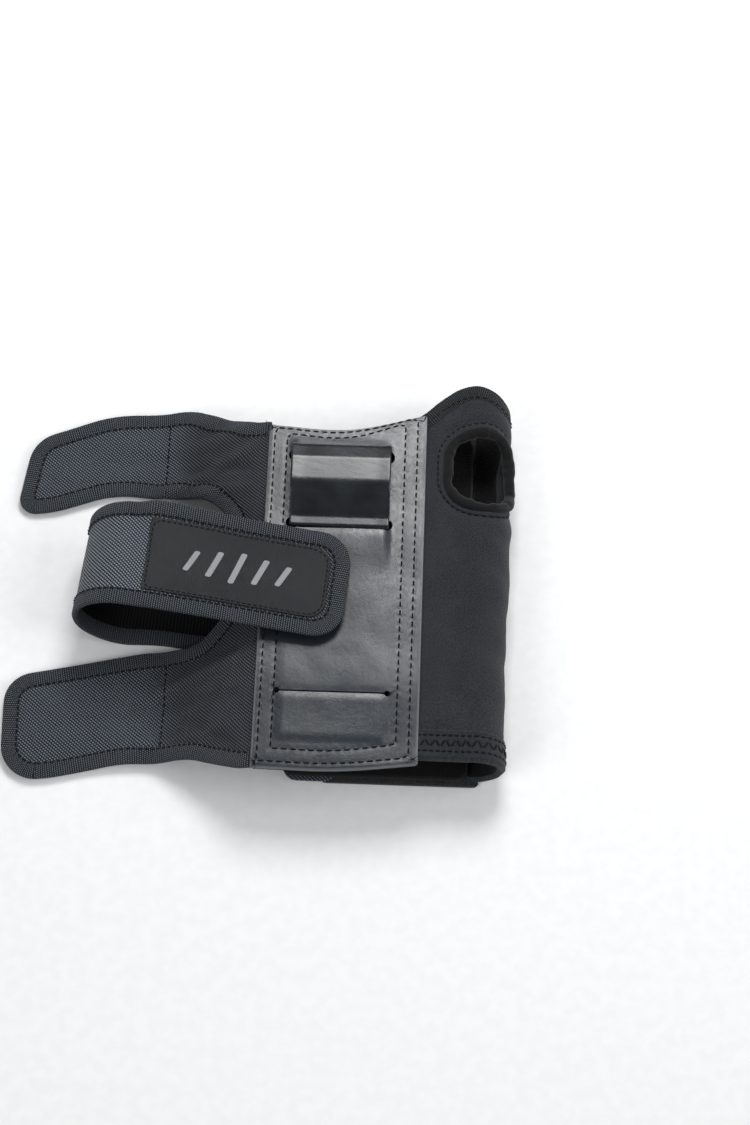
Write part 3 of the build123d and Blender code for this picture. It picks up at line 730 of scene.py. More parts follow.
class Nodes:
    """Builds one procedural material. Sizes are in millimetres on the cloth or the object."""

    def __init__(self, name, on_cloth=True):
        self.material = bpy.data.materials.new(name)
        self.material.use_nodes = True
        self.tree = self.material.node_tree
        self.shader = self.tree.nodes["Principled BSDF"]
        if on_cloth:
            source = self.tree.nodes.new("ShaderNodeAttribute")
            source.attribute_name = "flat"
            place = source.outputs["Vector"]
        else:
            place = self.tree.nodes.new("ShaderNodeTexCoord").outputs["Object"]
        self.place = self.vector("MULTIPLY", place, (1 / MM, 1 / MM, 1 / MM))

    def connect(self, value, socket):
        """Links an output to a socket, or sets the socket's own value."""
        if isinstance(value, bpy.types.NodeSocket):
            self.tree.links.new(value, socket)
        else:
            socket.default_value = value

    def add(self, kind, *values):
        """Adds a node and gives its first inputs their values or links."""
        node = self.tree.nodes.new(kind)
        for value, socket in zip(values, node.inputs):
            self.connect(value, socket)
        return node

    def vector(self, operation, a, b):
        """A vector calculation."""
        node = self.add("ShaderNodeVectorMath", a, b)
        node.operation = operation
        return node.outputs[0]

    def math(self, operation, a, b=0.0, c=0.0):
        """A number calculation."""
        node = self.add("ShaderNodeMath", a, b, c)
        node.operation = operation
        return node.outputs[0]

    def turned(self, degrees, stretch=(1, 1, 1)):
        """The place, turned about the cloth's normal and then stretched."""
        turn = self.add("ShaderNodeVectorRotate", self.place)
        turn.rotation_type = "Z_AXIS"
        turn.inputs["Angle"].default_value = math.radians(degrees)
        return self.vector("MULTIPLY", turn.outputs[0], stretch)

    def axes(self, place):
        """The three parts of a place."""
        return self.add("ShaderNodeSeparateXYZ", place).outputs

    def noise(self, size, detail=3.0, place=None, rough=0.5):
        """Smooth noise from 0 to 1 whose features are about size across."""
        node = self.add("ShaderNodeTexNoise", self.place if place is None else place)
        node.inputs["Scale"].default_value = 1 / size
        node.inputs["Detail"].default_value = detail
        node.inputs["Roughness"].default_value = rough
        return node.outputs["Fac"]

    def cells(self, size, feature="F1"):
        """Distance to the nearest of scattered points about size apart."""
        node = self.add("ShaderNodeTexVoronoi", self.place)
        node.feature = feature
        node.inputs["Scale"].default_value = 1 / size
        return node.outputs["Distance"]

    def span(self, value, low, high, start=0.0, end=1.0):
        """Maps low..high to start..end, smoothly and within those ends."""
        node = self.add("ShaderNodeMapRange", value, low, high, start, end)
        node.interpolation_type = "SMOOTHSTEP"
        return node.outputs["Result"]

    def mix(self, amount, a, b):
        """Blends two colours."""
        node = self.add("ShaderNodeMix")
        node.data_type = "RGBA"
        self.connect(amount, node.inputs["Factor"])
        for value, socket in ((a, node.inputs[6]), (b, node.inputs[7])):
            self.connect((*value, 1.0) if isinstance(value, tuple) else value, socket)
        return node.outputs[2]

    def ridge(self, value, pitch):
        """Rounded ridges, one every pitch."""
        wave = self.math("SINE", self.math("MULTIPLY", value, math.pi / pitch))
        return self.math("ABSOLUTE", wave)

    def twill(self, pitch, degrees):
        """Height of a weave whose slanted ribs stand out."""
        x, y, _ = self.axes(self.turned(degrees))
        steps = self.math("FLOOR", self.math("DIVIDE", x, pitch))
        picks = self.ridge(self.math("MULTIPLY_ADD", steps, pitch / 2, y), pitch)
        return self.math("MULTIPLY", self.ridge(x, pitch), self.math("MULTIPLY_ADD", picks, 0.6, 0.4))

    def basket(self, pitch, degrees):
        """Height of a plain weave, turned on the cloth."""
        x, y, _ = self.axes(self.turned(degrees))
        warp, weft = self.ridge(x, pitch), self.ridge(y, pitch)
        steps = self.math("ADD", self.math("FLOOR", self.math("DIVIDE", x, pitch)),
                          self.math("FLOOR", self.math("DIVIDE", y, pitch)))
        over = self.math("PINGPONG", steps, 1.0)
        under = self.math("SUBTRACT", 1.0, over)
        first = self.math("MULTIPLY", warp, self.math("MULTIPLY_ADD", weft, 0.35, 0.4))
        second = self.math("MULTIPLY", weft, self.math("MULTIPLY_ADD", warp, 0.45, 0.55))
        first = self.math("MULTIPLY", over, first)
        return self.math("ADD", first, self.math("MULTIPLY", under, second))

    def finish(self, colour, roughness, height, depth, **fixed):
        """Wires colour, roughness and bump; the rest are constants on the shader's sockets."""
        self.connect(colour, self.shader.inputs["Base Color"])
        self.connect(roughness, self.shader.inputs["Roughness"])
        bump_node = self.add("ShaderNodeBump")
        bump_node.inputs["Strength"].default_value = 1.0
        bump_node.inputs["Distance"].default_value = depth * MM
        self.connect(height, bump_node.inputs["Height"])
        self.connect(bump_node.outputs["Normal"], self.shader.inputs["Normal"])
        for socket, value in fixed.items():
            socket = socket.replace("_", " ").title().replace("Ior", "IOR")
            self.shader.inputs[socket].default_value = value
        return self.material


# Darkest colour between the threads of the nylon and of the bindings
GAPS = (0.0012, 0.0014, 0.0018)


def nylon_material(name, light):
    """Slanted weave, with painted shade on the slope next to the palm panel."""
    n = Nodes(name)
    weave = n.twill(1.3, -50)
    fibres = n.noise(0.35, 4.0, n.turned(45, (1, 6, 1)))
    worn = n.noise(16.0, 3.0)
    height = n.math("MULTIPLY_ADD", fibres, 0.25, weave)
    colour = n.mix(n.span(weave, 0.3, 0.95), GAPS, light)
    colour = n.mix(n.span(worn, 0.35, 0.75, 0.0, 0.12), colour, (0.1, 0.12, 0.148))
    # Painted shade: darker where the cloth's u passes 84 to 106 mm, which on the wing is the slope next to
    # the palm panel.
    colour = n.mix(n.span(n.axes(n.place)[0], 84.0, 106.0, 0.0, 0.52), colour, (0.004, 0.005, 0.0065))
    roughness = n.span(n.math("MULTIPLY_ADD", worn, 0.4, weave), 0.1, 1.3, 0.72, 0.5)
    return n.finish(colour, roughness, height, 0.6, sheen_weight=0.03, sheen_roughness=0.4,
                    specular_ior_level=0.3)


def binding_material(name, light):
    """Tape with a rib across it every 1.1 mm."""
    n = Nodes(name)
    along, across, _ = n.axes(n.place)
    ribs = n.ridge(along, 1.1)
    steps = n.math("FLOOR", n.math("DIVIDE", along, 1.1))
    picks = n.ridge(n.math("MULTIPLY_ADD", steps, 0.5, across), 1.0)
    weave = n.math("MULTIPLY", ribs, n.math("MULTIPLY_ADD", picks, 0.7, 0.3))
    fuzz = n.noise(0.3, 4.0)
    colour = n.mix(n.span(weave, 0.3, 0.95), GAPS, light)
    colour = n.mix(n.span(n.noise(11.0), 0.4, 0.7, 0.0, 0.25), colour, tuple(c * 0.45 for c in light))
    height = n.math("MULTIPLY_ADD", fuzz, 0.3, weave)
    return n.finish(colour, n.span(weave, 0.0, 1.0, 0.8, 0.58), height, 0.55, sheen_weight=0.03,
                    sheen_roughness=0.45, specular_ior_level=0.25)


def thread_material(name, colour):
    """Twisted sewing thread."""
    n = Nodes(name)
    along, across, _ = n.axes(n.place)
    twist = n.ridge(n.math("MULTIPLY_ADD", across, 0.8, along), 0.55)
    tone = n.mix(n.span(twist, 0.1, 0.9), tuple(c * 0.4 for c in colour), colour)
    return n.finish(tone, n.span(n.noise(1.0), 0.3, 0.7, 0.5, 0.7), twist, 0.1, specular_ior_level=0.2)


def leather_material():
    """Grained synthetic leather with a pale cut edge, lighter there partly from wear and partly from
    painted sheen.
    """
    n = Nodes("palm_leather_grain")
    grain = n.cells(0.75, "SMOOTH_F1")
    pores = n.span(n.cells(0.42), 0.0, 0.5)
    creases = n.span(n.noise(3.2, 5.0, rough=0.65), 0.44, 0.5)
    edge = n.axes(n.place)[2]
    rubbed = n.noise(24.0, 4.0)
    colour = n.mix(n.span(grain, 0.1, 0.7), (0.012, 0.0175, 0.025), (0.008, 0.012, 0.017))
    colour = n.mix(n.span(rubbed, 0.35, 0.75, 0.0, 0.4), colour, (0.017, 0.0245, 0.034))
    # Pale cut edge: partly wear, partly painted sheen, within 1.3 mm of the outline.
    colour = n.mix(n.span(edge, 0.1, 1.3, 0.7, 0.0), colour, (0.13, 0.14, 0.15))
    height = n.math("ADD", n.math("MULTIPLY", n.math("SUBTRACT", 1.0, grain), 0.7),
                    n.math("MULTIPLY_ADD", creases, 0.5, n.math("MULTIPLY", pores, 0.35)))
    shine = n.math("ADD", n.span(rubbed, 0.3, 0.75, 0.35, 0.3),
                   n.span(n.noise(2.0), 0.3, 0.7, -0.03, 0.05))
    return n.finish(colour, shine, height, 0.03, specular_ior_level=0.6)


def neoprene_material():
    """Knitted jersey on foam rubber, speckled."""
    n = Nodes("neoprene_jersey")
    x, y, _ = n.axes(n.place)
    wales = n.math("MULTIPLY", n.ridge(x, 0.5),
                   n.ridge(n.math("MULTIPLY_ADD", n.ridge(x, 0.5), 0.25, y), 0.6))
    speckle = n.noise(0.7, 5.0, rough=0.7)
    patch = n.noise(20.0, 3.0)
    colour = n.mix(n.span(speckle, 0.35, 0.68), (0.006, 0.0068, 0.0085), (0.028, 0.031, 0.037))
    colour = n.mix(n.span(patch, 0.35, 0.7, 0.0, 0.3), colour, (0.028, 0.031, 0.036))
    height = n.math("MULTIPLY_ADD", speckle, 0.7, n.math("MULTIPLY", wales, 0.6))
    return n.finish(colour, n.span(speckle, 0.3, 0.7, 0.9, 0.72), height, 0.2, sheen_weight=0.1,
                    sheen_roughness=0.5, specular_ior_level=0.25)


def lining_material(name, colour, cell=2.4):
    """Open mesh knit over a plain weave."""
    n = Nodes(name)
    holes = n.span(n.cells(cell), 0.12, 0.3)
    loops = n.basket(0.9, 0)
    tone = n.mix(n.math("MULTIPLY", holes, n.span(loops, 0.1, 0.7)),
                 tuple(c * 0.25 for c in colour), colour)
    tone = n.mix(n.span(n.noise(9.0), 0.4, 0.7, 0.0, 0.4), tone, tuple(c * 1.5 for c in colour))
    height = n.math("MULTIPLY_ADD", loops, 0.4, holes)
    return n.finish(tone, n.span(loops, 0.0, 1.0, 0.92, 0.75), height, 0.35, sheen_weight=0.1,
                    specular_ior_level=0.2)


def knit_material():
    """Ribbed inner side of the strap."""
    n = Nodes("ribbed_knit")
    x, y, _ = n.axes(n.place)
    ribs = n.math("MULTIPLY", n.ridge(x, 1.6), n.math("MULTIPLY_ADD", n.ridge(y, 0.8), 0.4, 0.6))
    tone = n.mix(n.span(ribs, 0.2, 0.9), (0.0008, 0.0008, 0.001), (0.006, 0.0065, 0.0075))
    return n.finish(tone, n.span(n.noise(1.5), 0.3, 0.7, 0.95, 0.8), ribs, 0.5, specular_ior_level=0.15)


def plush_material():
    """Short soft nap of the thumb hole's roll."""
    n = Nodes("thumb_plush")
    nap = n.noise(0.6, 5.0, rough=0.7)
    tone = n.mix(n.span(nap, 0.35, 0.7), (0.0015, 0.0015, 0.0018), (0.013, 0.0135, 0.015))
    return n.finish(tone, n.span(nap, 0.3, 0.7, 0.98, 0.85), nap, 0.3, sheen_weight=0.12,
                    sheen_roughness=0.5, specular_ior_level=0.15)


def pile_material():
    """Loop side of the hook-and-loop closure."""
    n = Nodes("loop_pile")
    curls = n.noise(0.8, 6.0, rough=0.75)
    tufts = n.span(n.cells(1.5), 0.0, 0.6)
    tone = n.mix(n.span(curls, 0.38, 0.66), (0.006, 0.0065, 0.007), (0.045, 0.047, 0.052))
    height = n.math("MULTIPLY_ADD", tufts, 0.5, curls)
    return n.finish(tone, n.span(curls, 0.3, 0.7, 0.98, 0.8), height, 0.9, sheen_weight=0.15,
                    sheen_roughness=0.6, specular_ior_level=0.2)


def hook_material():
    """Hook side of the closure."""
    n = Nodes("hook_tape")
    x, y, _ = n.axes(n.place)
    dots = n.math("MULTIPLY", n.ridge(x, 1.3), n.ridge(y, 1.6))
    tone = n.mix(n.span(dots, 0.3, 0.8), (0.01, 0.01, 0.011), (0.06, 0.062, 0.066))
    return n.finish(tone, n.span(dots, 0.2, 0.9, 0.6, 0.32), n.span(dots, 0.2, 0.9), 0.7,
                    specular_ior_level=0.5)


def plastic_material(name, colour, gloss, on_cloth=True):
    """Moulded plastic with faint scuffs along it."""
    n = Nodes(name, on_cloth)
    scuffs = n.noise(1.4, 5.0, n.turned(12, (1, 0.12, 1)), 0.7)
    haze = n.noise(15.0, 3.0)
    flow = n.noise(5.0, 2.0)
    tone = n.mix(n.span(haze, 0.35, 0.7), colour, tuple(c * 1.8 + 0.002 for c in colour))
    roughness = n.math("ADD", n.span(scuffs, 0.45, 0.75, gloss, gloss + 0.09),
                       n.span(haze, 0.3, 0.7, 0.0, 0.05))
    height = n.math("MULTIPLY_ADD", scuffs, 0.06, n.math("MULTIPLY", flow, 0.25))
    return n.finish(tone, roughness, height, 0.1, specular_ior_level=0.4, coat_weight=0.15,
                    coat_roughness=0.14)


def label_material():
    """Satin weave of the label patch."""
    n = Nodes("label_satin")
    x, y, _ = n.axes(n.place)
    satin = n.ridge(n.math("MULTIPLY_ADD", n.noise(1.2, 2.0), 0.25, y), 0.42)
    tone = n.mix(n.span(satin, 0.1, 0.9), (0.004, 0.0046, 0.006), (0.0095, 0.0108, 0.0135))
    tone = n.mix(n.span(n.noise(13.0), 0.4, 0.7, 0.0, 0.3), tone, (0.0125, 0.014, 0.017))
    height = n.math("MULTIPLY_ADD", n.ridge(x, 1.1), 0.25, satin)
    return n.finish(tone, n.span(satin, 0.0, 1.0, 0.62, 0.42), height, 0.1, sheen_weight=0.03,
                    anisotropic=0.4, specular_ior_level=0.33)


def floor_material():
    """Matt white ground."""
    n = Nodes("pale_floor", False)
    grain = n.noise(6.0, 3.0)
    tone = n.mix(n.span(grain, 0.3, 0.7), (0.84, 0.84, 0.84), (0.87, 0.87, 0.87))
    return n.finish(tone, 0.9, grain, 0.02, specular_ior_level=0.1)


FINISH = {
    "nylon": nylon_material("nylon_weave", (0.145, 0.17, 0.205)),
    # Painted light: the strap's nylon is a lighter copy of the wing's, for the sheen its curl catches.
    "strap_nylon_painted_light": nylon_material("strap_weave_painted_light", (0.235, 0.27, 0.315)),
    "edge_binding": binding_material("binding_rib", (0.115, 0.132, 0.157)),
    "elastic_binding": binding_material("binding_elastic", (0.055, 0.06, 0.064)),
    "thread": thread_material("black_thread", (0.0035, 0.0035, 0.004)),
    "mark_thread": thread_material("grey_mark_thread", (0.36, 0.37, 0.38)),
    "leather": leather_material(),
    "neoprene": neoprene_material(),
    "foam": lining_material("pad_cover_mesh", (0.014, 0.0145, 0.016)),
    "lining": lining_material("lining_knit", (0.003, 0.0032, 0.0036), 1.8),
    "knit": knit_material(),
    "plush": plush_material(),
    "loop_pile": pile_material(),
    "hook_tape": hook_material(),
    "splint_plastic": plastic_material("splint_gloss_black", (0.0045, 0.006, 0.008), 0.22),
    "splint_core": plastic_material("splint_core_black", (0.012, 0.012, 0.013), 0.34, False),
    "label": label_material(),
}


# Pieces

SHEET_STEP = 1.7
THREAD_PITCH = 3.1
BAND_WIDTH = 8.0
# How far inside a tape's outer edge its sheet ends, and its thread runs
SHEET_INSET = 2.0
ROW_INSET = 7.2
HOOK_DEPTH = 1.0
HOOK_STEP = 2.2
SWELL_FRAMES = 20


def dress(obj, finish, back=None):
    """Gives a piece its material, and its back another."""
    obj.data.materials.append(FINISH[finish])
    if back:
        obj.data.materials.append(FINISH[back])
        count = SHEET_FACES[obj.name]
        for face in obj.data.polygons[count:2 * count]:
            face.material_index = 1
    return obj


def on_sleeve(obj, finish, node=None, back=None):
    """Dresses a piece of the sleeve, which stands in for a CAD node if one is named."""
    dress(obj, finish, back)
    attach(obj, "sleeve")
    if node:
        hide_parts(node)
    return obj


def blend_all(pieces):
    """Bakes the placement of each cloth piece into its mesh."""
    for piece in pieces:
        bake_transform(piece)


def inflate(obj, held_points, pressure, cap):
    """Swells a closed pad by cloth simulation; held points stay, no point moves beyond cap."""
    mesh = obj.data
    before = np.zeros(len(mesh.vertices) * 3)
    mesh.vertices.foreach_get("co", before)
    group = obj.vertex_groups.new(name="held")
    group.add([int(i) for i in held_points], 1.0, "REPLACE")
    sim = obj.modifiers.new("swell", "CLOTH")
    sim.settings.vertex_group_mass = "held"
    sim.settings.use_pressure = True
    sim.settings.uniform_pressure_force = pressure
    sim.settings.effector_weights.gravity = 0.0
    sim.point_cache.frame_end = SWELL_FRAMES
    for frame_number in range(1, SWELL_FRAMES + 1):
        bpy.context.scene.frame_set(frame_number)
    shape = obj.evaluated_get(bpy.context.evaluated_depsgraph_get()).data
    after = np.zeros(len(before))
    shape.vertices.foreach_get("co", after)
    obj.modifiers.remove(sim)
    bpy.context.scene.frame_set(1)
    move = (after - before).reshape(-1, 3)
    far = np.linalg.norm(move, axis=1)[:, None]
    move *= np.minimum(1.0, cap * MM / np.maximum(far, 1e-9))
    mesh.vertices.foreach_set("co", (before.reshape(-1, 3) + move).ravel())
    mesh.update()


# Palm panel

MIDDLE_SLIT_WIDTH = 6.0
UPPER_SLIT_WIDTH = 7.2
panel_slots = [slot_outline(MIDDLE_SLIT_Y + 0.6, MIDDLE_SLIT_WIDTH),
               slot_outline(UPPER_SLIT_Y, UPPER_SLIT_WIDTH), punched_slit(LOWER_SLIT_Y)]
leather = cloth("palm_panel_leather", PANEL, place_leather, LEATHER_DEPTH, 1.15, panel_slots)
on_sleeve(leather, "leather", "palm_leather", back="lining")
palm_thread = stitches("palm_panel_thread", ROWS, place_leather, LEATHER_DEPTH / 2 + 0.12, 0.84, 0.42)
on_sleeve(palm_thread, "thread", "palm_stitching")

# Palm splint, seen as a glossy bump between the two upper slits: Y and Z of its bends, their radii
SPLINT_BEND = [(-78, 32.8), (32.8, 32.8), (33.8, 36.15), (39.4, 36.25), (50.6, 45.9), (65.5, 46.2),
               (73.6, 44.3), (74.2, 32.8), (80, 32.8)]
SPLINT_RADII = [0, 1.4, 0.9, 3.0, 12, 2.6, 2.2, 2.0, 0]
SPLINT_HALF = (SPLINT_HIGH[0] - SPLINT_LOW[0]) / 2
SPLINT_DEPTH, SPLINT_EDGE, SPLINT_RIM = 1.5, 0.6, 0.35
bend = rounded(SPLINT_BEND, SPLINT_RADII, 0.5, closed=False)
bend = np.column_stack([np.zeros(len(bend)), bend])
bend_side = np.tile([-1.0, 0.0, 0.0], (len(bend), 1))
splint = sweep("palm_panel_splint", bend, bend_side, np.cross(directions(bend, False), bend_side),
               plate_profile(SPLINT_HALF, SPLINT_DEPTH, SPLINT_EDGE, SPLINT_RIM))
on_sleeve(splint, "splint_plastic", "palm_splint")

# Loose thread ends at the corners of the palm panel and at the slit: X, Y and how many
TUFTS = [(-34.5, 86.5, 6), (39.5, 92.5, 3), (-34.0, -86.0, 5), (39.0, -82.0, 4), (-26.0, LOWER_SLIT_Y, 3),
         (26.5, LOWER_SLIT_Y - 1, 2)]
TUFT_Z = 35.3
TUFT_RADIUS = 0.2
TUFT_RINGS, TUFT_SIDES = 9, 5


def loose_thread(x, y):
    """Rings of points round one curled thread end, which thins out towards its tip."""
    turn, reach = random.uniform(0, 2 * math.pi), random.uniform(2.0, 4.5)
    curl = turn + random.uniform(-1.2, 1.2)
    t = np.linspace(0, 1, TUFT_RINGS)
    line = np.column_stack([x + reach * (np.cos(turn) * t + 0.4 * np.cos(curl) * t * t),
                            y + reach * (np.sin(turn) * t + 0.4 * np.sin(curl) * t * t),
                            TUFT_Z + 1.2 * np.sin(t * 2.6) * random.uniform(0.3, 1.0)])
    side = unit(np.cross(np.gradient(line, axis=0), UP))
    angles = (np.arange(TUFT_SIDES) * 2 * math.pi / TUFT_SIDES)[None, :, None]
    size = TUFT_RADIUS * (1 - 0.5 * t)[:, None, None]
    return line[:, None] + size * (side[:, None] * np.cos(angles) + UP * np.sin(angles))


random.seed(7)
tufts = np.array([loose_thread(x, y) for x, y, count in TUFTS for _ in range(count)])
tuft_faces = []
for i in range(len(tufts)):
    tuft_faces += ring_faces(i * TUFT_RINGS * TUFT_SIDES, TUFT_RINGS, TUFT_SIDES)
tufts = tufts.reshape(-1, 3)
on_sleeve(new_object("loose_threads", tufts, tuft_faces, tufts), "thread")

# Neoprene shell and its hem

SHELL_DEPTH = 2.9
HEM_DEPTH = 3.9
HEM_Y = HEM_HIGH[1]
HEM_END = SHELL_END - 3
# Distance of the zigzag's points and of the straight rows from the hem's inner edge
ZIGZAG_REACH = (3.9, 8.1)
HEM_ROWS = (2.2, 9.8)
shell_run = np.arange(0.0, SHELL_END, 1.5)
edge_line = np.column_stack([shell_run, finger_edge_y(shell_run)])
shell_outline = np.vstack([[(0.0, HEM_Y), (SHELL_END, HEM_Y)], (edge_line - [0, 1.6])[::-1]])
shell_outline = resample(shell_outline, 1.6)
neoprene = cloth("neoprene_shell", shell_outline, place_shell, SHELL_DEPTH, SHEET_STEP, [THUMB_HOLE], 0.4)
on_sleeve(neoprene, "neoprene", "neoprene_sleeve", back="lining")

hem_outline = resample(box_corners((0.0, SHELL_BOTTOM), (SHELL_END, HEM_Y)), 1.5)
hem = cloth("forearm_hem_fold", hem_outline, place_shell, HEM_DEPTH, 1.5, (), 0.5)
on_sleeve(hem, "neoprene", "forearm_hem", back="lining")

zigzag_x = np.arange(6.0, HEM_END, 2.4)
zigzag = HEM_Y - np.where(np.arange(len(zigzag_x)) % 2, *ZIGZAG_REACH)
hem_rows = [np.column_stack([zigzag_x, zigzag])]
hem_rows += [straight_row((4.0, HEM_Y - reach), (HEM_END, HEM_Y - reach), 3.0) for reach in HEM_ROWS]
hem_thread = stitches("forearm_hem_zigzag", hem_rows, place_shell, 2.05, fill=0.94, radius=0.48)
on_sleeve(hem_thread, "thread")

edge_path = resample(edge_line[::-1], 1.5, closed=False)
edge_band = tape("finger_edge_band", edge_path, place_shell, band_profile(BAND_WIDTH, 2.1, 1.8))
on_sleeve(edge_band, "elastic_binding", "finger_edge_binding")
edge_row = needle_row(edge_path - [0, 6.8], 3.2, closed=False)
edge_thread = on_sleeve(stitches("finger_edge_thread", [edge_row], place_shell, 1.95), "thread")

# Thumb hole: a soft roll inside, and outside it a ring of neoprene with its thread
hole_path = anticlockwise(thumb_outline(-1.6, 1.0))
turns = np.arange(len(hole_path)) / len(hole_path) * 2 * math.pi
swell = 1.0 + 0.07 * np.sin(turns * 5 + 1) + 0.05 * np.sin(turns * 11 + 2) + 0.03 * np.sin(turns * 23)
hole_frames = frames_at(hole_path, directions(hole_path, True), place_shell)
thumb_roll = sweep("thumb_hole_roll", *hole_frames, roll_profile(5.4, 2.9), True, swell)
on_sleeve(thumb_roll, "plush", "thumb_hole_hem")
ring_path = anticlockwise(thumb_outline(1.0))
thumb_ring = tape("thumb_hole_ring", ring_path, place_shell, band_profile(5.0, 2.0, 1.5), True)
on_sleeve(thumb_ring, "neoprene")
ring_row = needle_row(anticlockwise(thumb_outline(0.1)), 3.2)
thumb_thread = on_sleeve(stitches("thumb_hole_thread", [ring_row], place_shell, 2.0), "thread")

# Side wing and tabs

WING_DEPTH = 1.7
WING_THREAD_LIFT = 1.3
WING_BAND = band_profile(BAND_WIDTH, 1.55, 1.2)
NO_CUT_X = -999.0
wing_plan = rounded(WING_CORNERS, WING_RADII, 1.5)


def wing_runs(amount, left, right):
    """The runs of the wing's edge, inset, between two plan X values: flat points and directions.
    Neighbouring runs share the same direction where they meet."""
    edge = inset(wing_plan, amount) if amount else wing_plan
    whole = []
    for here, there in zip(edge, np.roll(edge, -1, axis=0)):
        whole.append(here)
        for cut in (left, right):
            if (here[0] - cut) * (there[0] - cut) < 0:
                whole.append(here + (there - here) * (cut - here[0]) / (there[0] - here[0]))
    whole = np.array(whole)
    flat = to_wing_flat(whole)
    ways = directions(flat, True)
    kept = (whole[:, 0] > left - 1e-6) & (whole[:, 0] < right + 1e-6)
    first = int(np.argmin(kept))
    order = np.roll(np.arange(len(whole)), -first)
    runs, run = [], []
    for i in order:
        if kept[i]:
            run.append(i)
        elif run:
            runs.append(run)
            run = []
    return [(flat[r], ways[r]) for r in runs + [run] if len(r) > 3]


def tab_runs(amount, side):
    """The edge of one tab beyond the cut: side is 1 for the finger end."""
    runs = wing_runs(amount, NO_CUT_X, WING_CUT_X)
    return [r for r in runs if (r[0][:, 1].mean() > 15) == (side > 0)][0]


wing_outline = np.vstack([flat for flat, _ in wing_runs(SHEET_INSET, WING_CUT_X, WING_START_X)])
wing_outline = resample(wing_outline, 1.6)
wing = dress(cloth("wing_fabric", wing_outline, place_wing, WING_DEPTH, SHEET_STEP), "nylon")
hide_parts("side_wing")
wing_sewn = []
runs = wing_runs(0, WING_CUT_X, LEATHER_LOW[0] + 0.5)
for name, (flat, ways) in zip(("finger", "notch", "forearm"), runs):
    band = tape(f"wing_band_{name}", flat, place_wing, WING_BAND, ways=ways)
    wing_sewn.append(dress(band, "edge_binding"))
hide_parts("side_wing_binding")
rows = [needle_row(flat, THREAD_PITCH, closed=False)
        for flat, _ in wing_runs(ROW_INSET, WING_CUT_X, LEATHER_LOW[0] - 1.0)]
wing_sewn.append(dress(stitches("wing_thread", rows, place_wing, WING_THREAD_LIFT), "thread"))
blend_all([wing] + wing_sewn)

# Each tab, and the X of the stitch row that crosses it at the end of its hook patch
for body, side, cross_x in (("upper_tab", 1, -88.5), ("lower_tab", -1, -81.0)):
    outline = resample(tab_runs(SHEET_INSET, side)[0], 1.6)
    tab = dress(cloth(f"{body}_fabric", outline, place_wing, WING_DEPTH, SHEET_STEP), "nylon")
    flat, ways = tab_runs(0, side)
    band = dress(tape(f"{body}_band", flat, place_wing, WING_BAND, ways=ways), "edge_binding")
    row = tab_runs(ROW_INSET, side)[0]
    thread = stitches(f"{body}_thread", [needle_row(row, THREAD_PITCH, closed=False)], place_wing,
                      WING_THREAD_LIFT)
    cross_u = to_wing_flat(np.array([(cross_x, 0.0)]))[0, 0]
    near = row[np.abs(row[:, 0] - cross_u) < 2][:, 1]
    crossing = straight_row((cross_u, near.min()), (cross_u, near.max()), THREAD_PITCH)
    cross = stitches(f"{body}_cross_thread", [crossing], place_wing, WING_DEPTH / 2 + 0.1)
    hook_edge = tab_runs(BAND_WIDTH + 0.4, side)[0]
    hook_edge = resample(hook_edge[hook_edge[:, 0] < cross_u + 1.0], 1.8)
    hook = cloth(f"{body}_hook_patch", hook_edge, lifted(place_wing, -1.5), HOOK_DEPTH, HOOK_STEP)
    dress(thread, "thread")
    dress(cross, "thread")
    dress(hook, "hook_tape")
    blend_all([tab, band, thread, cross, hook])
    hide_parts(body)
    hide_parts(f"{body}_binding")
    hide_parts(f"{body}_stitching")
    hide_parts(f"{body}_hook")

# Wrist strap

STRAP_DEPTH = 1.5
STRAP_BAND = band_profile(BAND_WIDTH, 1.4, 1.15)
STRAP_ROW = 19.4
HOOK_INSET = 8.4
LABEL_LOW, LABEL_HIGH, LABEL_HALF = CURL_LENGTH + 10.0, CURL_LENGTH + 96.5, 17.8
LABEL_DEPTH = 0.7
MARK_BARS = 5
MARK_STEP = 11.0
MARK_HALF = 1.4
MARK_LEAN = 5.0
MARK_DEPTH = 0.3


def strap_box(start, end, half, radii, step, closed=True):
    """Flat outline of a length of strap with rounded corners. An open one has no side at its start."""
    return rounded(box_corners((start, -half), (end, half)), radii, step, closed)


leg_outline = strap_box(-LEG_RUN, HALF_CURL, STRAP_HALF - SHEET_INSET, 0, 1.2)
leg = cloth("strap_leg_fabric", leg_outline, place_strap, STRAP_DEPTH, SHEET_STEP)
dress(leg, "strap_nylon_painted_light", "knit")
leg_d = np.arange(-LEG_RUN, HALF_CURL + 0.01, 1.5)
leg_d[-1] = HALF_CURL
leg_sewn = []
for name, v, way in (("low", -STRAP_HALF, 1), ("high", STRAP_HALF, -1)):
    run = np.column_stack([leg_d, np.full(len(leg_d), v)])[::way]
    leg_sewn.append(dress(tape(f"strap_leg_band_{name}", run, place_strap, STRAP_BAND), "edge_binding"))

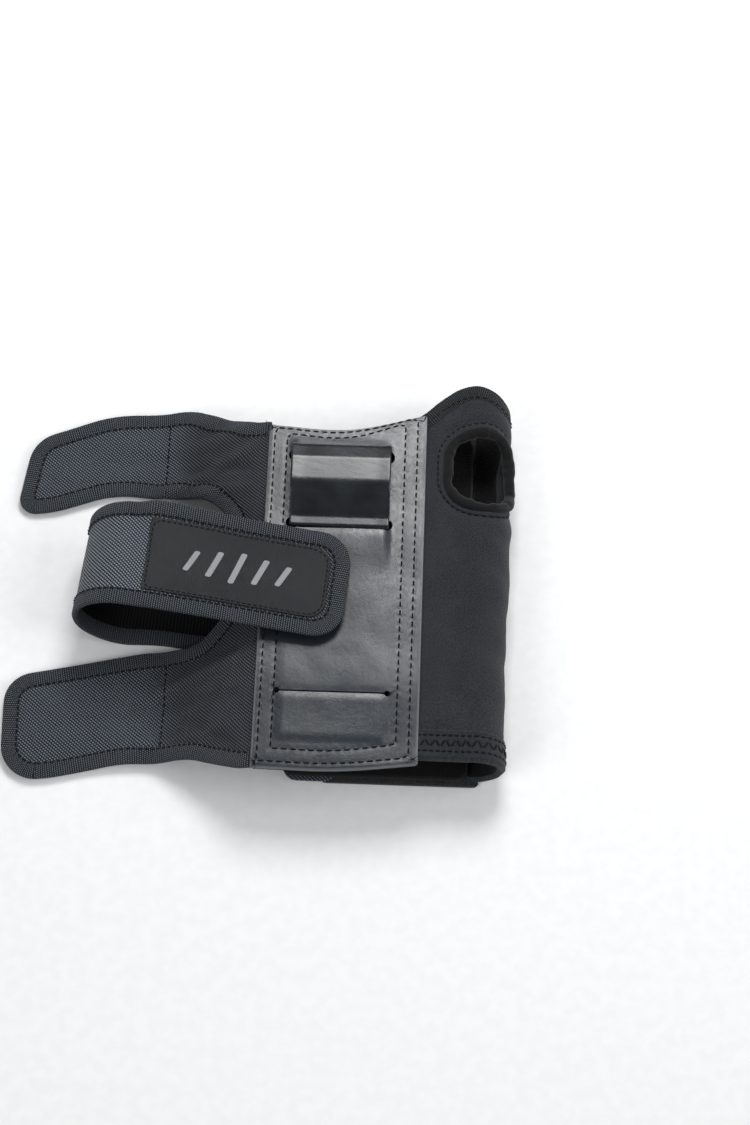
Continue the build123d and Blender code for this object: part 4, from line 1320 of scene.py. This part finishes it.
end_outline = strap_box(HALF_CURL, STRAP_TIP - SHEET_INSET, STRAP_HALF - SHEET_INSET, [0, 13, 13, 0], 1.2)
strap_end = cloth("strap_end_fabric", end_outline, place_strap, STRAP_DEPTH, SHEET_STEP)
dress(strap_end, "strap_nylon_painted_light", "knit")
end_run = strap_box(HALF_CURL, STRAP_TIP, STRAP_HALF, 15.0, 1.5, closed=False)
end_band = dress(tape("strap_end_band", end_run, place_strap, STRAP_BAND), "edge_binding")
end_row = strap_box(HALF_CURL, STRAP_TIP - ROW_INSET, STRAP_ROW, 8.0, 1.0, closed=False)
end_thread = stitches("strap_end_thread", [needle_row(end_row, THREAD_PITCH, False)], place_strap, 1.4)
dress(end_thread, "thread")
rows = [straight_row((-LEG_RUN, v), (HALF_CURL, v), THREAD_PITCH) for v in (-STRAP_ROW, STRAP_ROW)]
leg_sewn.append(dress(stitches("strap_leg_thread", rows, place_strap, 1.15), "thread"))

label_outline = strap_box(LABEL_LOW, LABEL_HIGH, LABEL_HALF, [1.0, 8.0, 8.0, 1.0], 1.2)
label = cloth("strap_label_patch", label_outline, lifted(place_strap, 1.1), LABEL_DEPTH, 1.5)
dress(label, "label")
label_row = needle_row(inset(label_outline, 1.1), 2.6)
label_sewn = [dress(stitches("strap_label_thread", [label_row], place_strap, 1.5, radius=0.3), "thread")]
for k in range(MARK_BARS):
    from_middle = k - (MARK_BARS - 1) / 2
    middle = (LABEL_LOW + LABEL_HIGH) / 2 + from_middle * MARK_STEP
    tall = 8.0 - 1.4 * abs(from_middle)
    low, high = middle - MARK_LEAN / 2, middle + MARK_LEAN / 2
    bar = rounded([(low - MARK_HALF, -tall), (low + MARK_HALF, -tall), (high + MARK_HALF, tall),
                   (high - MARK_HALF, tall)], 0.6, 0.7)
    mark = cloth(f"strap_label_bar_{k + 1}", bar, lifted(place_strap, 1.5), MARK_DEPTH, 1.0)
    label_sewn.append(dress(mark, "mark_thread"))
hook_outline = strap_box(CURL_LENGTH + 52, STRAP_TIP - HOOK_INSET, STRAP_HALF - HOOK_INSET,
                         [0, 6.6, 6.6, 0], 1.2)
strap_hook = cloth("strap_end_hook_patch", hook_outline, lifted(place_strap, -1.35), HOOK_DEPTH,
                   HOOK_STEP)
dress(strap_hook, "hook_tape")

blend_all([leg] + leg_sewn)
blend_all([strap_end, end_band, end_thread, strap_hook, label] + label_sewn)
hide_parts("strap_leg", "strap_curl")
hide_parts("strap_leg_binding", "strap_curl_binding")
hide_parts("strap_end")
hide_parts("strap_end_binding")
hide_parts("strap_end_hook")
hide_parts("strap_label")

# Dorsal side, pads and pocket

POCKET_GAP = 0.4


def slab_place(height, seed, wave):
    """A flat layer at a height, slightly uneven."""
    def placed(flat):
        return np.column_stack([flat, height + rumple(flat, 24.0, wave, seed)])
    return placed


def flat_layer(name, node, finish, low, high, wave, outline):
    """A sewn layer that fills its CAD slab."""
    place = slab_place((low[2] + high[2]) / 2, low[0], wave)
    layer = cloth(name, outline, place, (high[2] - low[2]) * 0.9, 2.0)
    on_sleeve(layer, finish, node)


pile_corners = [LOOP_LOW[:2], (LOOP_HIGH[0] + 4.5, LOOP_LOW[1]), (LOOP_HIGH[0] + 4.0, SHELL_BOTTOM - 1.0),
                (LOOP_HIGH[0], SHELL_BOTTOM + 1.0), LOOP_HIGH[:2], (LOOP_LOW[0], LOOP_HIGH[1])]
flat_layer("dorsal_pile_panel", "dorsal_loop_panel", "loop_pile", LOOP_LOW, LOOP_HIGH, 0.2,
           rounded(pile_corners, [1.5, 1.5, 0.5, 0.5, 1.0, 5.0], 1.8))
flat_layer("dorsal_margin_cloth", "dorsal_margin", "nylon", MARGIN_LOW, MARGIN_HIGH, 0.15,
           rounded(box_corners(MARGIN_LOW, MARGIN_HIGH), 6.0, 1.8))
# The strip is narrower and thinner than its CAD slab
TAPE_TOP = (TAPE_LOW[0] + 10.2, TAPE_HIGH[1], TAPE_LOW[2] + 0.8)
flat_layer("wing_seam_strip", "wing_seam_tape", "edge_binding", TAPE_LOW, TAPE_TOP, 0.05,
           rounded(box_corners(TAPE_LOW, TAPE_TOP), 1.0, 1.8))


def pad(name, node, finish, outline, low, high, seed):
    """A thin quilted pad, swollen between its sewn edge and channels."""
    place = slab_place((low[2] + high[2]) / 2, seed, 0.1)
    obj = cloth(name, outline, place, (high[2] - low[2]) * 0.62, 2.6, (), 0.9)
    plan = np.array([v.co for v in obj.data.vertices])[:, :2] / MM
    channel = np.abs((plan[:, 1] - low[1] + 14.0) % 30.0 - 15.0) < 1.3
    pinned = np.where((distance_to(plan, outline) < 2.8) | channel)[0]
    inflate(obj, pinned, 4.0, 0.9)
    on_sleeve(obj, finish, node)


pad("palm_pad", "palm_foam_pad", "foam", inset(PANEL, 2.5), PAD_LOW, PAD_HIGH, 41.0)
pad("dorsal_lining_pad", "dorsal_lining", "lining",
    rounded(box_corners(LINING_LOW, LINING_HIGH, -0.5), 3.0, 1.8), LINING_LOW, LINING_HIGH, 43.0)

welt_low, welt_high = box_mm("splint_pocket_welt")
core_low, core_high = box_mm("dorsal_splint")


def pocket_arch(start, end, high, radius):
    """Three sides of the splint pocket: from its mouth at one X, across, and down at the other."""
    mouth = welt_low[1]
    corners = [(start, mouth), (start, high), (end, high), (end, mouth)]
    return rounded(corners, [0, radius, radius, 0], 2.0, closed=False)


welt_edge = resample(np.vstack([
    pocket_arch(welt_low[0], welt_high[0], welt_high[1], 19.4),
    pocket_arch(core_high[0] + POCKET_GAP, core_low[0] - POCKET_GAP, core_high[1] + POCKET_GAP, 14.4),
]), 1.4)
welt = cloth("pocket_welt_band", welt_edge, slab_place(3.25, 51.0, 0.05), 2.3, 1.8)
on_sleeve(welt, "edge_binding", "splint_pocket_welt")

core = frame["nodes"]["dorsal_splint"]
core.data.materials.clear()
core.data.materials.append(FINISH["splint_core"])

# Floor, light and camera

CAMERA_AT = (0.032386, -0.394082, 1.001530)
CAMERA_TURN = math.radians(-2.0)
CAMERA_TILT = math.radians(67.0)
CAMERA_LENS = 70.0
LIGHTS_AIM = Vector((0, 0, 0.02))
FLOOR_HALF = 1500
FLOOR_Z = -0.4

corners = box_corners((-FLOOR_HALF, -FLOOR_HALF), (FLOOR_HALF, FLOOR_HALF))
floor = new_object("floor", [(x, y, FLOOR_Z) for x, y in corners], [(0, 1, 2, 3)])
floor.data.materials.append(floor_material())

world = bpy.data.worlds.new("studio")
world.use_nodes = True
sky = world.node_tree.nodes["Background"].inputs
sky["Color"].default_value = (0.93, 0.96, 1.0, 1)
sky["Strength"].default_value = 0.28
bpy.context.scene.world = world

# Lamps: place and size in metres, power in watts
LAMPS = [("key", (0.09, 0.5, 0.74), 0.36, 5.6), ("left", (-0.8, -0.75, 0.9), 0.7, 6.3),
         ("right", (1.0, -0.1, 0.9), 0.7, 6.5)]
for name, at, size, power in LAMPS:
    lamp = bpy.data.lights.new(name, "AREA")
    lamp.size = size
    lamp.energy = power
    holder = bpy.data.objects.new(name, lamp)
    holder.location = at
    holder.rotation_euler = (LIGHTS_AIM - Vector(at)).to_track_quat("-Z", "Y").to_euler()
    bpy.context.scene.collection.objects.link(holder)

camera = bpy.data.cameras.new("camera")
camera.lens = CAMERA_LENS
camera.clip_start = 0.01
aim = Vector((math.sin(CAMERA_TURN) * math.cos(CAMERA_TILT), math.cos(CAMERA_TURN) * math.cos(CAMERA_TILT),
              -math.sin(CAMERA_TILT)))
stand = bpy.data.objects.new("camera", camera)
stand.location = CAMERA_AT
stand.rotation_euler = aim.to_track_quat("-Z", "Y").to_euler()
bpy.context.scene.collection.objects.link(stand)
bpy.context.scene.camera = stand
bpy.context.scene.view_settings.view_transform = "Standard"
